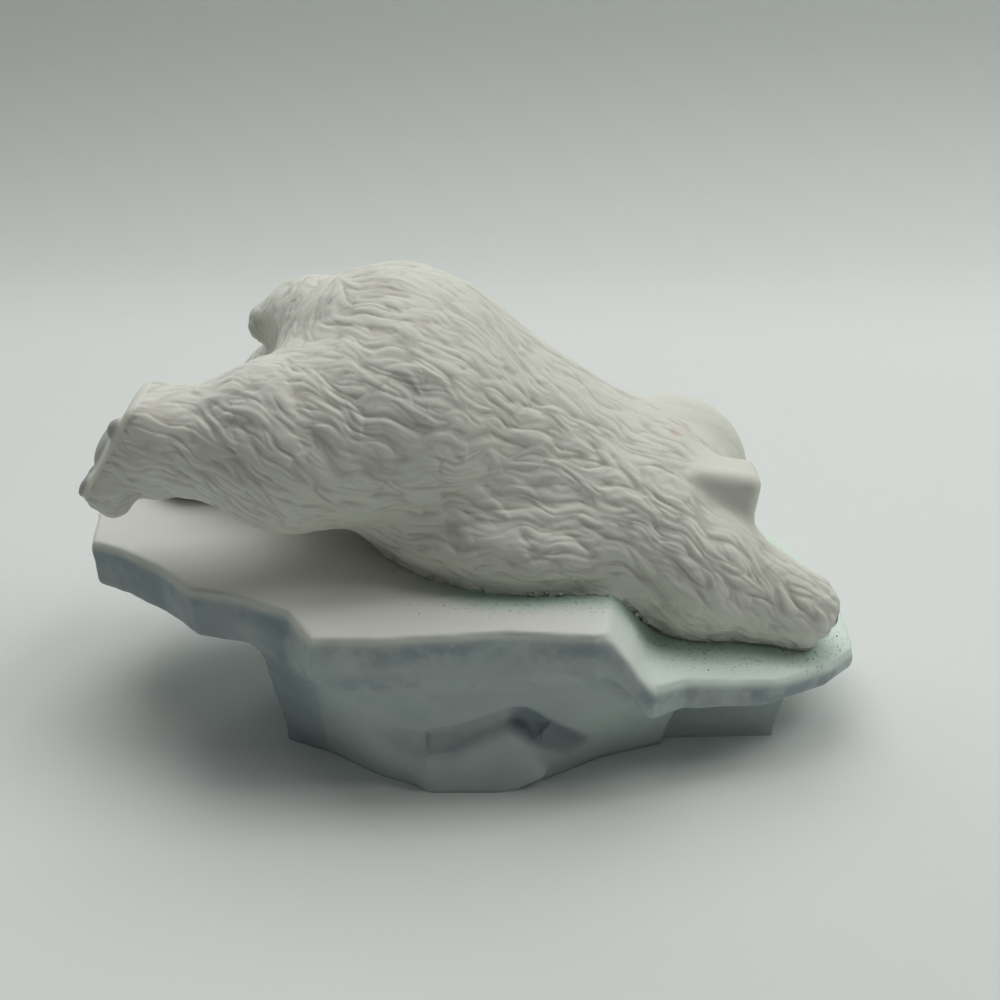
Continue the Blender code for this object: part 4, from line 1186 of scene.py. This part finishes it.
def simple_material(name, colour, roughness):
    """One plain colour."""
    material = bpy.data.materials.new(name)
    material.use_nodes = True
    shader = material.node_tree.nodes["Principled BSDF"]
    shader.inputs["Base Color"].default_value = (*colour, 1.0)
    shader.inputs["Roughness"].default_value = roughness
    return material


def finish_piece(thing, material):
    """Give a piece its material and tell the frame what it dresses."""
    thing.data.materials.clear()
    thing.data.materials.append(material)
    deselect()
    thing.select_set(True)
    bpy.context.view_layer.objects.active = thing
    if not thing.data.has_custom_normals:
        bpy.ops.object.shade_smooth()
    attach(thing, "root")
    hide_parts(NODE)


PAPER = (0.70, 0.73, 0.705)
SWEEP_START = 0.32
SWEEP_RADIUS = 0.10
SWEEP_TOP = 0.26
SWEEP_HALF_WIDTH = 1.6


def set_floor():
    """A pale floor that curves up behind the object."""
    profile = [(-2.0, 0.0), (SWEEP_START, 0.0)]
    for step in range(1, 13):
        angle = math.radians(90.0 * step / 12.0)
        profile.append((SWEEP_START + SWEEP_RADIUS * math.sin(angle), SWEEP_RADIUS * (1.0 - math.cos(angle))))
    profile.append((SWEEP_START + SWEEP_RADIUS, SWEEP_TOP))
    corners = [(x, y, z) for y, z in profile for x in (-SWEEP_HALF_WIDTH, SWEEP_HALF_WIDTH)]
    faces = [(2 * i, 2 * i + 1, 2 * i + 3, 2 * i + 2) for i in range(len(profile) - 1)]
    mesh = bpy.data.meshes.new("pale_sweep")
    mesh.from_pydata(corners, [], faces)
    mesh.shade_smooth()
    floor = bpy.data.objects.new("pale_sweep", mesh)
    bpy.context.scene.collection.objects.link(floor)
    mesh.materials.append(simple_material("pale_paper", PAPER, 0.7))


# Light: each lamp's place, size in metres and power in watts
LAMP_AIM = (0.0, 0.0, 0.04)
LAMPS = [
    ((-0.05, 0.40, 1.12), 1.0, 8.1),
    ((0.72, 0.02, 0.92), 0.6, 4.6),
    ((-0.60, 0.75, 0.35), 0.5, 3.3),
]
WORLD_COLOUR = (0.93, 0.97, 0.95)
WORLD_LIGHT = 0.094
WORLD_SEEN = 0.70


def add_lamp(place, size, energy):
    """A soft square lamp that faces the figurine."""
    bpy.ops.object.light_add(type="AREA", location=place)
    lamp = bpy.context.object
    lamp.data.size = size
    lamp.data.energy = energy
    lamp.rotation_euler = (Vector(LAMP_AIM) - Vector(place)).to_track_quat("-Z", "Y").to_euler()


def set_light():
    """A large lamp above and behind, one high at the right, and one low behind at the left."""
    world = bpy.data.worlds.new("studio")
    bpy.context.scene.world = world
    world.use_nodes = True
    background = world.node_tree.nodes["Background"]
    background.inputs["Color"].default_value = (*WORLD_COLOUR, 1.0)
    rays = world.node_tree.nodes.new("ShaderNodeLightPath").outputs
    camera, glossy, through = (
        Value(world.node_tree, rays[f"Is {kind} Ray"]) for kind in ("Camera", "Glossy", "Transmission")
    )
    seen = camera.math("MAXIMUM", glossy.math("MAXIMUM", through))
    glow = seen * (WORLD_SEEN - WORLD_LIGHT) + WORLD_LIGHT
    plug(world.node_tree, background.inputs["Strength"], glow)
    for place, size, energy in LAMPS:
        add_lamp(place, size, energy)


def set_camera():
    """The photograph's viewing angle."""
    data = bpy.data.cameras.new("photo_camera")
    camera = bpy.data.objects.new("photo_camera", data)
    bpy.context.scene.collection.objects.link(camera)
    data.sensor_width = SENSOR
    data.lens = FOCAL_PIXELS / FRAME_PIXELS * SENSOR
    elevation = math.radians(CAMERA_ELEVATION)
    back = Vector((0.0, -math.cos(elevation), math.sin(elevation)))
    camera.location = Vector(CAMERA_AIM) + CAMERA_DISTANCE * back
    camera.rotation_euler = (-back).to_track_quat("-Z", "Y").to_euler()
    data.clip_start = 0.01
    bpy.context.scene.camera = camera


def main():
    """Build, finish and light the figurine."""
    bpy.context.scene.view_settings.view_transform = "Standard"
    coat = bear_finish()
    for stretch in build_bear():
        finish_piece(stretch, coat)
    finish_piece(build_ice(), ice_finish())
    finish_piece(build_grains(), grain_finish())
    set_floor()
    set_light()
    set_camera()


main()
